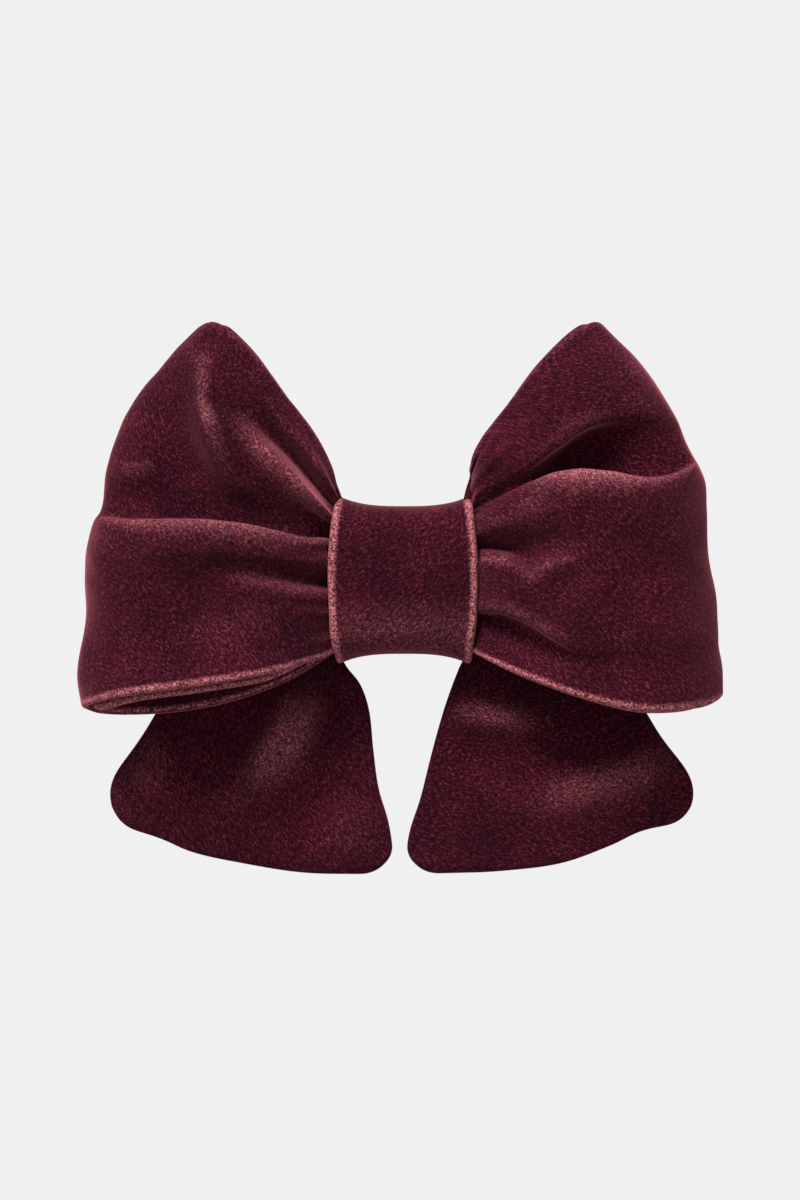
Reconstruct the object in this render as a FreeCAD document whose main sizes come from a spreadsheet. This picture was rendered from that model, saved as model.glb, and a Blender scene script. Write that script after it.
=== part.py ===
"""Clip-on bow tie in padded velvet, worn on a collar: two open loops, two flared tails, a centre
knot and a sprung alligator clip sewn to the back of the knot.

Frame: millimetres, +Z up as worn, +X to the viewer's right, -Y towards the viewer. The origin lies
on the plane where the clip's two jaws meet, straight behind the middle of the knot.
"""
import FreeCAD, Part
import math
import os

import Sketcher
from FreeCAD import Placement, Rotation, Vector

# name, millimetres (or degrees, or a count), what it is
DIMENSIONS = [
    ("velvet", 1.6, "one layer of velvet with its pile"),
    ("interlining", 0.6, "fleece between two layers of velvet"),
    ("layer_gap", 0.05, "air between two layers"),
    ("slit", 0.1, "left open where gathered cloth meets itself or the edge of the knot"),
    ("loop_reach", 65.0, "centre line to the outer fold of a loop"),
    ("loop_peak", 51.5, "knot centre up to the top corner of a loop"),
    ("loop_front", 27.5, "jaw plane forward to the belly of a loop"),
    ("loop_neck", 13.0, "centre line to where a loop leaves the knot"),
    ("loop_waist_height", 24.8, "height of the gathered cloth inside the knot"),
    ("tail_drop", 59.4, "knot centre down to the lowest point of a tail"),
    ("knot_width", 27.4, "width of the velvet band round the knot"),
    ("knot_height", 30.0, "outer height of that band"),
    ("knot_corner", 2.6, "outer corner radius of that band"),
    ("knot_band", 1.9, "thickness of that band"),
    ("padding", 1.7, "thickness of the fleece pad under the front of the knot"),
    ("padding_inset", 1.5, "edge of the band to the side edge of that pad"),
    ("padding_drop", 1.0, "top of the gathered cloth to the top edge of that pad"),
    ("padding_corner", 3.0, "corner radius of that pad"),
    ("thread_space", 0.6, "room for the thread wound round the waist"),
    ("waist_thread", 0.5, "diameter of that thread"),
    ("waist_turns", 6, "turns of that thread"),
    ("stitch_thread", 0.4, "diameter of the sewing thread"),
    ("stitch_bend", 0.24, "radius of the middle of a stitch at its corners"),
    ("stitch_rise", 0.45, "how deep a closing stitch goes into the band"),
    ("stitch_lean", 0.8, "how far along the seam a closing stitch slants"),
    ("stitch_length", 2.0, "length of a closing stitch across the seam"),
    ("seam_drop", 8.7, "knot centre down to the seam of the band"),
    ("clip_plate", 0.8, "thickness of the clip's steel"),
    ("clip_face", 0.2, "jaw plane to the fixed arm's inner face"),
    ("clip_reach", 27.0, "knot centre to the toothed end of the clip"),
    ("arm_width", 10.0, "width of the fixed arm"),
    ("arm_corner", 2.2, "corner radius of the fixed arm"),
    ("arm_tail", 27.0, "knot centre to the finger end of the fixed arm"),
    ("jaw_width", 8.0, "width of the moving jaw"),
    ("jaw_lift", 0.6, "jaw plane to the moving jaw's inner face"),
    ("jaw_bridge", 4.5, "jaw plane to the jaw's inner face over the spring"),
    ("jaw_tail_end", 31.0, "knot centre to the end of the finger lever"),
    ("jaw_tail_rise", 9.0, "jaw plane to the inner face at that end"),
    ("hinge_along", 17.0, "knot centre to the hinge pin"),
    ("hinge_depth", 2.4, "jaw plane to the hinge pin"),
    ("pin_radius", 0.75, "radius of the hinge pin"),
    ("pin_clearance", 0.05, "radial clearance of its holes"),
    ("pin_head_radius", 1.25, "radius of its two heads"),
    ("pin_head", 0.6, "thickness of a head"),
    ("ear_radius", 1.75, "radius of the metal round a pin hole"),
    ("ear_foot", 2.6, "half the length of an ear at its root"),
    ("ear_play", 0.2, "gap from the jaw's side to an ear of the fixed arm"),
    ("spring_wire", 0.5, "diameter of the spring wire"),
    ("spring_coil", 1.55, "radius of the spring at the middle of its wire"),
    ("spring_turns", 5, "turns of the spring"),
    ("spring_gap", 0.12, "air from one turn of the spring to the next"),
    ("spring_leg", 7.0, "length of each leg of the spring"),
    ("spring_low_lean", 6.0, "degrees by which the leg on the arm leans in"),
    ("spring_high_lean", 5.0, "degrees by which the leg under the lever leans in"),
    ("sew_hole_radius", 0.9, "radius of a sew hole in the fixed arm"),
    ("sew_hole_along", 8.0, "knot centre to a sew hole"),
    ("tooth_depth", 0.7, "depth of the notches between the teeth"),
    ("tooth_pitch", 2.0, "distance from tooth to tooth"),
    ("closing_stitches", 7, "stitches that close the band behind the knot"),
]
# name, formula, what it is: the depth from the jaw plane at which each layer begins
DEPTHS = [
    ("doubled", "2 * velvet + interlining + 2 * layer_gap", "two layers of velvet with fleece between"),
    ("band_back", "clip_face + clip_plate + 2 * layer_gap", "back face of the knot's band"),
    ("tails_depth", "band_back + knot_band + 2 * layer_gap", "back face of the tails"),
    ("loops_depth", "tails_depth + doubled + thread_space", "back face of the loops"),
    ("padding_depth", "loops_depth + 2 * doubled + slit + thread_space", "back face of the pad"),
    ("knot_face", "padding_depth + padding + 2 * layer_gap + knot_band", "front face of the knot"),
]

# Front outlines as (across, up): across as a share of loop_reach, up as a share of loop_peak.
# Each runs from the knot's top corner over the peak and back to the knot's bottom corner.
LOOP_OUTLINES = {
    "left": [(0.23, 0.34), (0.27, 0.50), (0.36, 0.70), (0.50, 0.91), (0.61, 1.0), (0.67, 0.94),
             (0.80, 0.71), (0.89, 0.50), (0.93, 0.27), (0.975, 0.06), (0.98, -0.22), (0.995, -0.42),
             (0.985, -0.495), (0.90, -0.505), (0.62, -0.455), (0.38, -0.36), (0.23, -0.28)],
    "right": [(0.23, 0.32), (0.26, 0.47), (0.35, 0.68), (0.48, 0.91), (0.60, 1.0), (0.66, 0.96),
              (0.80, 0.70), (0.88, 0.48), (0.925, 0.30), (0.935, 0.05), (0.968, -0.13),
              (0.975, -0.34), (0.978, -0.41), (0.90, -0.47), (0.72, -0.50), (0.46, -0.42),
              (0.23, -0.28)],
}
# Outlines of the hanging part of the tails, as (across, up): a share of loop_reach and of tail_drop.
# Each runs from under the knot down the inner edge, round the rounded end and up behind the loop.
TAIL_OUTLINES = {
    "left": [(0.165, -0.31), (0.117, -0.40), (0.104, -0.50), (0.093, -0.62), (0.055, -0.80),
             (0.04, -0.89), (0.05, -0.955), (0.12, -0.998), (0.32, -0.988), (0.58, -0.943),
             (0.785, -0.862), (0.88, -0.77), (0.905, -0.685), (0.87, -0.62), (0.76, -0.45),
             (0.56, -0.13), (0.38, 0.10), (0.22, 0.19)],
    "right": [(0.165, -0.31), (0.135, -0.40), (0.10, -0.52), (0.07, -0.65), (0.03, -0.82),
              (0.015, -0.90), (0.035, -0.96), (0.12, -0.997), (0.36, -0.974), (0.57, -0.933),
              (0.735, -0.855), (0.86, -0.775), (0.886, -0.695), (0.85, -0.62), (0.735, -0.455),
              (0.54, -0.13), (0.38, 0.10), (0.22, 0.19)],
}
SIDES = {"left": -1, "right": 1}
OVERSIZE = 200.0  # a cut that has to clear the whole bow

doc = FreeCAD.newDocument("BowTie")
sheet = doc.addObject("Spreadsheet::Sheet", "Dimensions")
sub_parts = []


def fill_sheet():
    depths = [(name, f"={formula}", meaning) for name, formula, meaning in DEPTHS]
    for row, (name, value, meaning) in enumerate(DIMENSIONS + depths, start=1):
        sheet.set(f"A{row}", name)
        sheet.set(f"B{row}", str(value))
        sheet.set(f"C{row}", meaning)
        sheet.setAlias(f"B{row}", name)
    doc.recompute()


def size(name):
    return float(sheet.get(name))


def bind(item, prop, formula):
    """Binds a property to the sheet; in the formula, $name stands for the cell with that name."""
    item.setExpression(prop, formula.replace("$", "Dimensions."))


def new_body(node):
    body = doc.addObject("PartDesign::Body", node)
    body.Label = node
    sub_parts.append(body)
    return body


def new_sketch(body, name, plane):
    """A sketch on one of the body's own origin planes: XY_Plane, XZ_Plane or YZ_Plane."""
    sketch = body.newObject("Sketcher::SketchObject", name)
    support = [f for f in body.Origin.OriginFeatures if f.Role == plane][0]
    sketch.AttachmentSupport = [(support, "")]
    sketch.MapMode = "FlatFace"
    return sketch


def add_feature(body, kind, name, profile, length, midplane=False, offset=None):
    """A Pad or Pocket of a sketch, its length and the sketch's own offset bound to the sheet."""
    feature = body.newObject(f"PartDesign::{kind}", name)
    feature.Profile = profile
    feature.Midplane = midplane
    if offset:
        bind(profile, "AttachmentOffset.Base.z", offset)
    bind(feature, "Length", length)
    profile.Visibility = False
    doc.recompute()
    return feature


def add_loop_of_lines(sketch, points):
    """A closed polygon whose corners are fixed by coincident constraints."""
    count = len(points)
    ids = []
    for start, end in zip(points, points[1:] + points[:1]):
        ids.append(sketch.addGeometry(Part.LineSegment(Vector(*start, 0), Vector(*end, 0)), False))
    for index in range(count):
        sketch.addConstraint(
            Sketcher.Constraint("Coincident", ids[index], 2, ids[(index + 1) % count], 1))
    return ids


def add_rounded_rectangle(sketch, low, high, radius, width, height, corner):
    """A rounded rectangle whose width, height and corner radius follow formulas of the sheet."""
    (x0, y0), (x1, y1), r = low, high, radius
    lines = [((x0 + r, y0), (x1 - r, y0)), ((x1, y0 + r), (x1, y1 - r)),
             ((x1 - r, y1), (x0 + r, y1)), ((x0, y1 - r), (x0, y0 + r))]
    centres = [(x1 - r, y0 + r), (x1 - r, y1 - r), (x0 + r, y1 - r), (x0 + r, y0 + r)]
    line_ids = [sketch.addGeometry(Part.LineSegment(Vector(*a, 0), Vector(*b, 0)), False)
                for a, b in lines]
    arc_ids = []
    for quarter, centre in enumerate(centres):
        start = (quarter - 1) * math.pi / 2
        circle = Part.Circle(Vector(*centre, 0), Vector(0, 0, 1), r)
        arc_ids.append(
            sketch.addGeometry(Part.ArcOfCircle(circle, start, start + math.pi / 2), False))
    for index in range(4):
        following = line_ids[(index + 1) % 4]
        sketch.addConstraint(Sketcher.Constraint("Tangent", line_ids[index], 2, arc_ids[index], 1))
        sketch.addConstraint(Sketcher.Constraint("Tangent", arc_ids[index], 2, following, 1))
        sketch.addConstraint(
            Sketcher.Constraint("Horizontal" if index % 2 == 0 else "Vertical", line_ids[index]))
    for first in (0, 1, 2):
        sketch.addConstraint(Sketcher.Constraint("Equal", arc_ids[first], arc_ids[first + 1]))
    for kind, where, item, formula, value in (
        ("DistanceX", (line_ids[3], 1, line_ids[1], 1), sketch, width, x1 - x0),
        ("DistanceY", (line_ids[0], 1, line_ids[2], 1), sketch, height, y1 - y0),
    ):
        index = sketch.addConstraint(Sketcher.Constraint(kind, *where, value))
        bind(item, f"Constraints[{index}]", formula)
    index = sketch.addConstraint(Sketcher.Constraint("Radius", arc_ids[0], r))
    bind(sketch, f"Constraints[{index}]", corner)
    for kind, value in (("DistanceX", x0 + r), ("DistanceY", y0)):
        sketch.addConstraint(Sketcher.Constraint(kind, -1, 1, line_ids[0], 1, value))


def spline(points):
    curve = Part.BSplineCurve()
    curve.interpolate([Vector(x, y, 0) for x, y in points])
    return curve


def loop_plan(side, inset):
    """The loop seen from above, inset from its outer surface: neck, belly, outer fold and back."""
    back = size("loops_depth")
    front = back + 2 * size("doubled") + size("slit")
    reach = size("loop_reach") - 0.5
    belly = size("loop_front")
    neck = size("loop_neck")
    past = -8.0  # the neck runs past the centre line, where the front outline cuts it

    def at(across, forward):
        return Vector(side * across, -forward, 0)

    edges = [
        Part.LineSegment(at(past, front), at(neck, front)),
        Part.Arc(at(neck, front), at(0.38 * reach, 0.90 * belly), at(0.60 * reach, belly)),
        Part.Arc(at(0.60 * reach, belly), at(0.86 * reach, 0.93 * belly), at(reach, 0.60 * belly)),
        Part.Arc(at(reach, 0.60 * belly), at(0.965 * reach, 0.38 * belly), at(0.85 * reach, back)),
        Part.LineSegment(at(0.85 * reach, back), at(past, back)),
        Part.LineSegment(at(past, back), at(past, front)),
    ]
    wire = Part.Wire([edge.toShape() for edge in edges])
    return wire.makeOffset2D(-inset) if inset else wire


def add_wire(sketch, wire):
    for edge in wire.Edges:
        if isinstance(edge.Curve, Part.Line):
            ends = [vertex.Point for vertex in edge.Vertexes]
            sketch.addGeometry(Part.LineSegment(*ends), False)
        else:
            sketch.addGeometry(
                Part.ArcOfCircle(edge.Curve, edge.FirstParameter, edge.LastParameter), False)


def add_loop_layer(side_name, layer, outer_inset, inner_inset):
    """One layer of cloth of a loop: the space between two insets, trimmed to the front outline."""
    side = SIDES[side_name]
    body = new_body(f"{side_name}_loop_{layer}")
    plan = new_sketch(body, f"{body.Name}_plan", "XY_Plane")
    add_wire(plan, loop_plan(side, outer_inset))
    add_wire(plan, loop_plan(side, inner_inset))
    add_feature(body, "Pad", f"{body.Name}_layer", plan, "4 * $loop_peak", midplane=True)

    reach, peak = size("loop_reach"), size("loop_peak")
    waist, middle = size("loop_waist_height") / 2, size("layer_gap") / 2
    flare = [(side * x * reach, z * peak) for x, z in LOOP_OUTLINES[side_name]]
    corner = (side * (size("knot_width") / 2 + size("slit")), waist)
    top, bottom = corner, (corner[0], -corner[1])
    outline = new_sketch(body, f"{body.Name}_outline", "XZ_Plane")
    add_loop_of_lines(outline, [(-OVERSIZE, -OVERSIZE), (OVERSIZE, -OVERSIZE),
                                (OVERSIZE, OVERSIZE), (-OVERSIZE, OVERSIZE)])
    outline.addGeometry(spline([top] + flare + [bottom]), False)
    neck = [top, (side * middle, waist), (side * middle, -waist), bottom]
    for start, end in zip(neck, neck[1:]):
        outline.addGeometry(Part.LineSegment(Vector(*start, 0), Vector(*end, 0)), False)
    add_feature(body, "Pocket", f"{body.Name}_trim", outline, "4 * $loop_peak", midplane=True)


def add_loops():
    velvet, fleece, gap = size("velvet"), size("interlining"), size("layer_gap")
    for side_name in SIDES:
        add_loop_layer(side_name, "facing", 0, velvet)
        add_loop_layer(side_name, "interlining", velvet + gap, velvet + gap + fleece)
        add_loop_layer(side_name, "lining", velvet + 2 * gap + fleece, 2 * velvet + 2 * gap + fleece)


def add_tails():
    """Each tail is two velvet pieces with fleece between them, flat, behind the loops."""
    layers = [
        ("back", "velvet", "0"),
        ("interlining", "interlining", "$velvet + $layer_gap"),
        ("front", "velvet", "$velvet + $interlining + 2 * $layer_gap"),
    ]
    reach, drop = size("loop_reach"), size("tail_drop")
    neck = size("loop_waist_height") / 2
    clear = 3 * size("slit")
    for side_name, side in SIDES.items():
        beside_knot = side * (size("knot_width") / 2 + clear)
        below_knot = size("knot_height") / 2 + clear
        hanging = [(beside_knot, -below_knot)]
        hanging += [(side * x * reach, z * drop) for x, z in TAIL_OUTLINES[side_name]]
        middle = side * size("layer_gap") / 2
        for layer, thickness, offset in layers:
            body = new_body(f"{side_name}_tail_{layer}")
            sketch = new_sketch(body, f"{body.Name}_outline", "XZ_Plane")
            sketch.addGeometry(spline(hanging), False)
            ends = [hanging[-1], (beside_knot, neck), (middle, neck), (middle, -neck),
                    (beside_knot, -neck), hanging[0]]
            for a, b in zip(ends, ends[1:]):
                sketch.addGeometry(Part.LineSegment(Vector(*a, 0), Vector(*b, 0)), False)
            add_feature(body, "Pad", f"{body.Name}_pad", sketch, f"${thickness}",
                        offset=f"$tails_depth + {offset}")


def add_knot():
    """The velvet band round the waist, and the fleece pad that fills out its front."""
    half, back, face = size("knot_height") / 2, size("band_back"), size("knot_face")
    band, corner = size("knot_band"), size("knot_corner")
    wrap = new_body("knot_wrap")
    section = new_sketch(wrap, "knot_wrap_section", "YZ_Plane")
    add_rounded_rectangle(section, (-face, -half), (-back, half), corner,
                          "$knot_face - $band_back", "$knot_height", "$knot_corner")
    add_rounded_rectangle(section, (band - face, band - half), (-back - band, half - band),
                          corner - band, "$knot_face - $band_back - 2 * $knot_band",
                          "$knot_height - 2 * $knot_band", "$knot_corner - $knot_band")
    add_feature(wrap, "Pad", "knot_wrap_pad", section, "$knot_width", midplane=True)

    pad = new_body("knot_padding")
    outline = new_sketch(pad, "knot_padding_outline", "XZ_Plane")
    x = size("knot_width") / 2 - size("padding_inset")
    z = size("loop_waist_height") / 2 - size("padding_drop")
    add_rounded_rectangle(outline, (-x, -z), (x, z), size("padding_corner"),
                          "$knot_width - 2 * $padding_inset",
                          "$loop_waist_height - 2 * $padding_drop", "$padding_corner")
    add_feature(pad, "Pad", "knot_padding_pad", outline, "$padding", offset="$padding_depth")


def add_shape(node, shape, where=Vector()):
    item = doc.addObject("Part::Feature", node)
    item.Label = node
    item.Shape = shape
    item.Placement = Placement(where, Rotation())
    sub_parts.append(item)


def swept_thread(points, radius, corner):
    """Round thread along straight runs from the first point to the last, with rounded corners."""
    edges, start = [], points[0]
    for before, point, after in zip(points, points[1:], points[2:]):
        back = (before - point).normalize() * corner
        on = (after - point).normalize() * corner
        centre = point + back + on
        bulge = centre - (back + on).normalize() * corner
        edges.append(Part.LineSegment(start, point + back).toShape())
        edges.append(Part.Arc(point + back, bulge, point + on).toShape())
        start = point + on
    edges.append(Part.LineSegment(start, points[-1]).toShape())
    profile = Part.Wire([Part.makeCircle(radius, points[0], points[1] - points[0])])
    return Part.Wire(edges).makePipeShell([profile], True, False)


def waist_turn(along, near, far, half, radius):
    """One turn of thread round the flat bundle of cloth, in a plane across X."""
    back, front, high = -near + radius, -far - radius, half + radius
    middle = (back + front) / 2
    corners = [(middle, -high), (front, -high), (front, high), (back, high), (back, -high),
               (middle, -high)]
    return swept_thread([Vector(along, y, z) for y, z in corners], radius, 1.4 * radius)


def add_waist_thread():
    """Thread wound round the gathered cloth before the band goes over it."""
    radius = size("waist_thread") / 2
    turns = int(size("waist_turns"))
    pitch = size("waist_thread") + 2 * size("layer_gap")
    near, far = size("loops_depth"), size("padding_depth") - size("thread_space")
    play = (size("thread_space") - size("waist_thread")) / 2
    half = size("loop_waist_height") / 2 + play
    wound = [waist_turn((turn - (turns - 1) / 2) * pitch, near - play, far + play, half, radius)
             for turn in range(turns)]
    add_shape("waist_thread", Part.makeCompound(wound))


def add_closing_stitches():
    """A row of slanted stitches that closes the band at the back of the knot."""
    count = int(size("closing_stitches"))
    foot = size("layer_gap") - size("band_back")
    lean, length, seam = size("stitch_lean") / 2, size("stitch_length") / 2, -size("seam_drop")
    raised = Vector(0, size("stitch_rise"), 0)
    closing = []
    for index in range(count):
        along = (index - (count - 1) / 2) * size("knot_width") / (count + 0.5)
        low = Vector(along - lean, foot, seam - length)
        high = Vector(along + lean, foot, seam + length)
        closing.append(swept_thread([low, low + raised, high + raised, high],
                                    size("stitch_thread") / 2, size("stitch_bend")))
    add_shape("knot_closing_stitches", Part.makeCompound(closing))


def add_clip_stitches():
    """Stitches from the band through each sew hole, over the arm's edge and back."""
    radius, gap = size("stitch_thread") / 2, size("layer_gap")
    foot = gap - size("band_back")
    over = radius + gap - size("clip_face")
    beyond = size("arm_width") / 2 + radius + gap
    sewn = []
    for hole in (-1, 1):
        for up in (-1, 1):
            along = hole * size("sew_hole_along") + up * (radius + gap)
            path = [(foot, radius), (over, radius), (over, beyond), (foot, beyond)]
            sewn.append(swept_thread([Vector(along, y, up * z) for y, z in path], radius,
                                     size("stitch_bend")))
    add_shape("clip_stitches", Part.makeCompound(sewn))


def add_teeth(body, sketch_name, along):
    """V notches across the end of a plate, which leave a row of teeth."""
    depth, pitch = size("tooth_depth"), size("tooth_pitch")
    notches = new_sketch(body, sketch_name, "XZ_Plane")
    for index in range(-2, 3):
        middle = index * pitch
        add_loop_of_lines(notches, [(along - 0.01, middle - 0.3 * pitch),
                                    (along + depth, middle),
                                    (along - 0.01, middle + 0.3 * pitch)])
    add_feature(body, "Pocket", f"{sketch_name}_cut", notches, "10 * $clip_plate", midplane=True)


def add_ears(body, name, inner_face, outer_face, root, up):
    """Two ears with round ends that stand on the hinge line, and a pin hole through both."""
    radius, along, pin = size("ear_radius"), size("hinge_along"), size("hinge_depth")
    foot, bore = size("ear_foot"), size("pin_radius") + size("pin_clearance")
    side = new_sketch(body, f"{name}_ears", "XY_Plane")
    corners = [(along - radius, pin), (along - foot, root), (along + foot, root),
               (along + radius, pin)]
    for start, end in zip(corners, corners[1:]):
        side.addGeometry(Part.LineSegment(Vector(*start, 0), Vector(*end, 0)), False)
    end = Part.Circle(Vector(along, pin, 0), Vector(0, 0, 1), radius)
    first = 0 if up > 0 else math.pi
    side.addGeometry(Part.ArcOfCircle(end, first, first + math.pi), False)
    add_feature(body, "Pad", f"{name}_ears_pad", side, f"2 * {outer_face}", midplane=True)
    far = pin + up * (radius + 1)
    gap = new_sketch(body, f"{name}_between", "XY_Plane")
    add_loop_of_lines(gap, [(along - foot - 1, root), (along + foot + 1, root),
                            (along + foot + 1, far), (along - foot - 1, far)])
    add_feature(body, "Pocket", f"{name}_between_cut", gap, f"2 * {inner_face}", midplane=True)
    hole = new_sketch(body, f"{name}_hole", "XY_Plane")
    circle = hole.addGeometry(Part.Circle(Vector(along, pin, 0), Vector(0, 0, 1), bore), False)
    index = hole.addConstraint(Sketcher.Constraint("Radius", circle, bore))
    bind(hole, f"Constraints[{index}]", "$pin_radius + $pin_clearance")
    for kind, formula, value in (("DistanceX", "$hinge_along", along),
                                 ("DistanceY", "$hinge_depth", pin)):
        index = hole.addConstraint(Sketcher.Constraint(kind, -1, 1, circle, 3, value))
        bind(hole, f"Constraints[{index}]", formula)
    add_feature(body, "Pocket", f"{name}_drill", hole, "2 * $arm_width", midplane=True)


def add_fixed_arm():
    """A flat plate with a toothed tip, two sew holes and two ears for the hinge pin."""
    body = new_body("clip_fixed_arm")
    reach, tail, half = size("clip_reach"), size("arm_tail"), size("arm_width") / 2
    plate = new_sketch(body, "arm_plate", "XZ_Plane")
    add_rounded_rectangle(plate, (-reach, -half), (tail, half), size("arm_corner"),
                          "$clip_reach + $arm_tail", "$arm_width", "$arm_corner")
    add_feature(body, "Pad", "arm_plate_pad", plate, "$clip_plate", offset="$clip_face")
    add_ears(body, "arm", "($jaw_width / 2 + $ear_play)", "($arm_width / 2)",
             -size("clip_face"), 1)
    holes = new_sketch(body, "arm_sew_holes", "XZ_Plane")
    radius = size("sew_hole_radius")
    for hole in (-1, 1):
        middle = Vector(hole * size("sew_hole_along"), 0, 0)
        circle = holes.addGeometry(Part.Circle(middle, Vector(0, 0, 1), radius), False)
        index = holes.addConstraint(Sketcher.Constraint("Radius", circle, radius))
        bind(holes, f"Constraints[{index}]", "$sew_hole_radius")
    add_feature(body, "Pocket", "arm_sew_cut", holes, "4 * $clip_plate", midplane=True,
                offset="$clip_face")
    add_teeth(body, "arm_teeth", -reach)


def add_jaw():
    """The moving jaw: lip at the tip, flat grip, bridge over the spring and finger lever."""
    body = new_body("clip_jaw")
    plate, lift, bridge = size("clip_plate"), size("jaw_lift"), size("jaw_bridge")
    reach, along = size("clip_reach"), size("hinge_along")
    end, rise = size("jaw_tail_end"), size("jaw_tail_rise")
    inner = [(-reach, size("layer_gap")), (-reach + plate, size("layer_gap")),
             (-reach + 2.2, lift), (along - 8.5, lift), (along - 4.0, bridge),
             (along + 2.6, bridge), (end, rise)]
    outer = [(end - 0.3, rise + plate), (along + 2.3, bridge + plate),
             (along - 4.4, bridge + plate), (along - 8.8, lift + plate),
             (-reach + 1.2, lift + plate), (-reach, lift + 0.1)]
    strip = new_sketch(body, "jaw_strip", "XY_Plane")
    add_loop_of_lines(strip, inner + outer)
    add_feature(body, "Pad", "jaw_strip_pad", strip, "$jaw_width", midplane=True)
    add_ears(body, "jaw", "($jaw_width / 2 - $clip_plate)", "($jaw_width / 2)", bridge, -1)
    add_teeth(body, "jaw_teeth", -reach)


def add_pin():
    """A plain pin with a peened head at each end, turned about the hinge line."""
    body = new_body("hinge_pin")
    radius, head = size("pin_radius"), size("pin_head_radius")
    inner = size("arm_width") / 2 + size("layer_gap")
    outer = inner + size("pin_head")
    profile = new_sketch(body, "pin_profile", "YZ_Plane")
    add_loop_of_lines(profile, [(0, -outer), (0.8 * head, -outer), (head, -outer + 0.2),
                                (head, -inner), (radius, -inner), (radius, inner), (head, inner),
                                (head, outer - 0.2), (0.8 * head, outer), (0, outer)])
    turned = body.newObject("PartDesign::Revolution", "pin_turned")
    turned.Profile = profile
    turned.ReferenceAxis = (profile, ["V_Axis"])
    turned.Angle = 360
    body.Placement = Placement(Vector(size("hinge_along"), size("hinge_depth"), 0), Rotation())
    doc.recompute()


def add_spring():
    """A torsion spring round the pin: a leg along the fixed arm, a coil, a leg under the lever."""
    wire, coil = size("spring_wire"), size("spring_coil")
    low_lean, high_lean, leg = size("spring_low_lean"), size("spring_high_lean"), size("spring_leg")
    turns = size("spring_turns") + (180 - low_lean - high_lean) / 360
    pitch = wire + size("spring_gap")
    helix = Part.makeHelix(pitch, turns * pitch, coil)
    helix.rotate(Vector(), Vector(1, 0, 0), 180)
    helix.translate(Vector(0, 0, turns * pitch / 2))
    helix.rotate(Vector(), Vector(0, 0, 1), -90 - low_lean)
    first, last = helix.Edges[0], helix.Edges[-1]
    start, finish = first.valueAt(first.FirstParameter), last.valueAt(last.LastParameter)
    inwards = first.tangentAt(first.FirstParameter).normalize() * leg
    outwards = last.tangentAt(last.LastParameter).normalize() * leg
    spine = Part.Wire([Part.LineSegment(start - inwards, start).toShape()] + helix.Edges
                      + [Part.LineSegment(finish, finish + outwards).toShape()])
    profile = Part.Wire([Part.makeCircle(wire / 2, start - inwards, inwards)])
    hinge = Vector(size("hinge_along"), size("hinge_depth"), 0)
    add_shape("torsion_spring", spine.makePipeShell([profile], True, True), hinge)


def check_and_export():
    doc.recompute()
    faulty = [item.Name for item in doc.Objects
              if "Invalid" in item.State or "Error" in item.State]
    if faulty:
        raise RuntimeError(f"these objects failed: {faulty}")
    os.makedirs("parts", exist_ok=True)
    for item in sub_parts:
        shape = item.Shape
        if shape.isNull() or not shape.isValid() or not shape.Solids:
            raise RuntimeError(f"{item.Label} has no valid solid")
        shape.exportStep(os.path.join("parts", f"{item.Label}.step"))
        print(f"{item.Label}: {len(shape.Solids)} solid(s), {shape.Volume:.1f} mm3")


fill_sheet()
add_loops()
add_tails()
add_knot()
add_waist_thread()
add_closing_stitches()
add_clip_stitches()
add_fixed_arm()
add_jaw()
add_pin()
add_spring()
check_and_export()
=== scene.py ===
import math

import bmesh
import bpy
import numpy as np
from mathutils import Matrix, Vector


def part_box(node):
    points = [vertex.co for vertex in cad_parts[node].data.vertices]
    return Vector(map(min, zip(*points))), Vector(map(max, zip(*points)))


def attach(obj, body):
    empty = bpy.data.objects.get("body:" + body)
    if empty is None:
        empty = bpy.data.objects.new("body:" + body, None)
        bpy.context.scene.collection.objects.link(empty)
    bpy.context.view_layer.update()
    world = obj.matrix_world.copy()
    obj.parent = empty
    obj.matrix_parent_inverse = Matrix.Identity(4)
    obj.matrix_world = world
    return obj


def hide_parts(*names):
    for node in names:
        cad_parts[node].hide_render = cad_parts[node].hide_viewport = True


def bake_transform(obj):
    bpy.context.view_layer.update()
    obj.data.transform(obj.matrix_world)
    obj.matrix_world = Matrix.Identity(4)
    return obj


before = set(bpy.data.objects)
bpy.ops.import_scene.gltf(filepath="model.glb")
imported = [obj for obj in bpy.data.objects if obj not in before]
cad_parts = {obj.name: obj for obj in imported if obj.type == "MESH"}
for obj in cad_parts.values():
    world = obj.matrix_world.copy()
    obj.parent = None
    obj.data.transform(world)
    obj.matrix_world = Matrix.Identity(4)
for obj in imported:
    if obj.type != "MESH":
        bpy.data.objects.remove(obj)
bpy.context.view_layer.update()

MM = 0.001
VELVET = 1.6 * MM  # room for one layer with its pile
SANDWICH = 3.9 * MM  # velvet, fleece and velvet
FLEECE = 0.6 * MM
LAYER_GAP = 0.05 * MM
LIP = 1.5 * MM  # thickness of each of a loop's velvet layers, whose lower edges are its lips
TOP_DROP = 1.1 * MM  # how far the lining stays below a loop's top edge
RIM_WIDTH = 1.0 * MM  # how far from a folded edge the painted rim highlight reaches
SIDES = {"left": -1, "right": 1}

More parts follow.
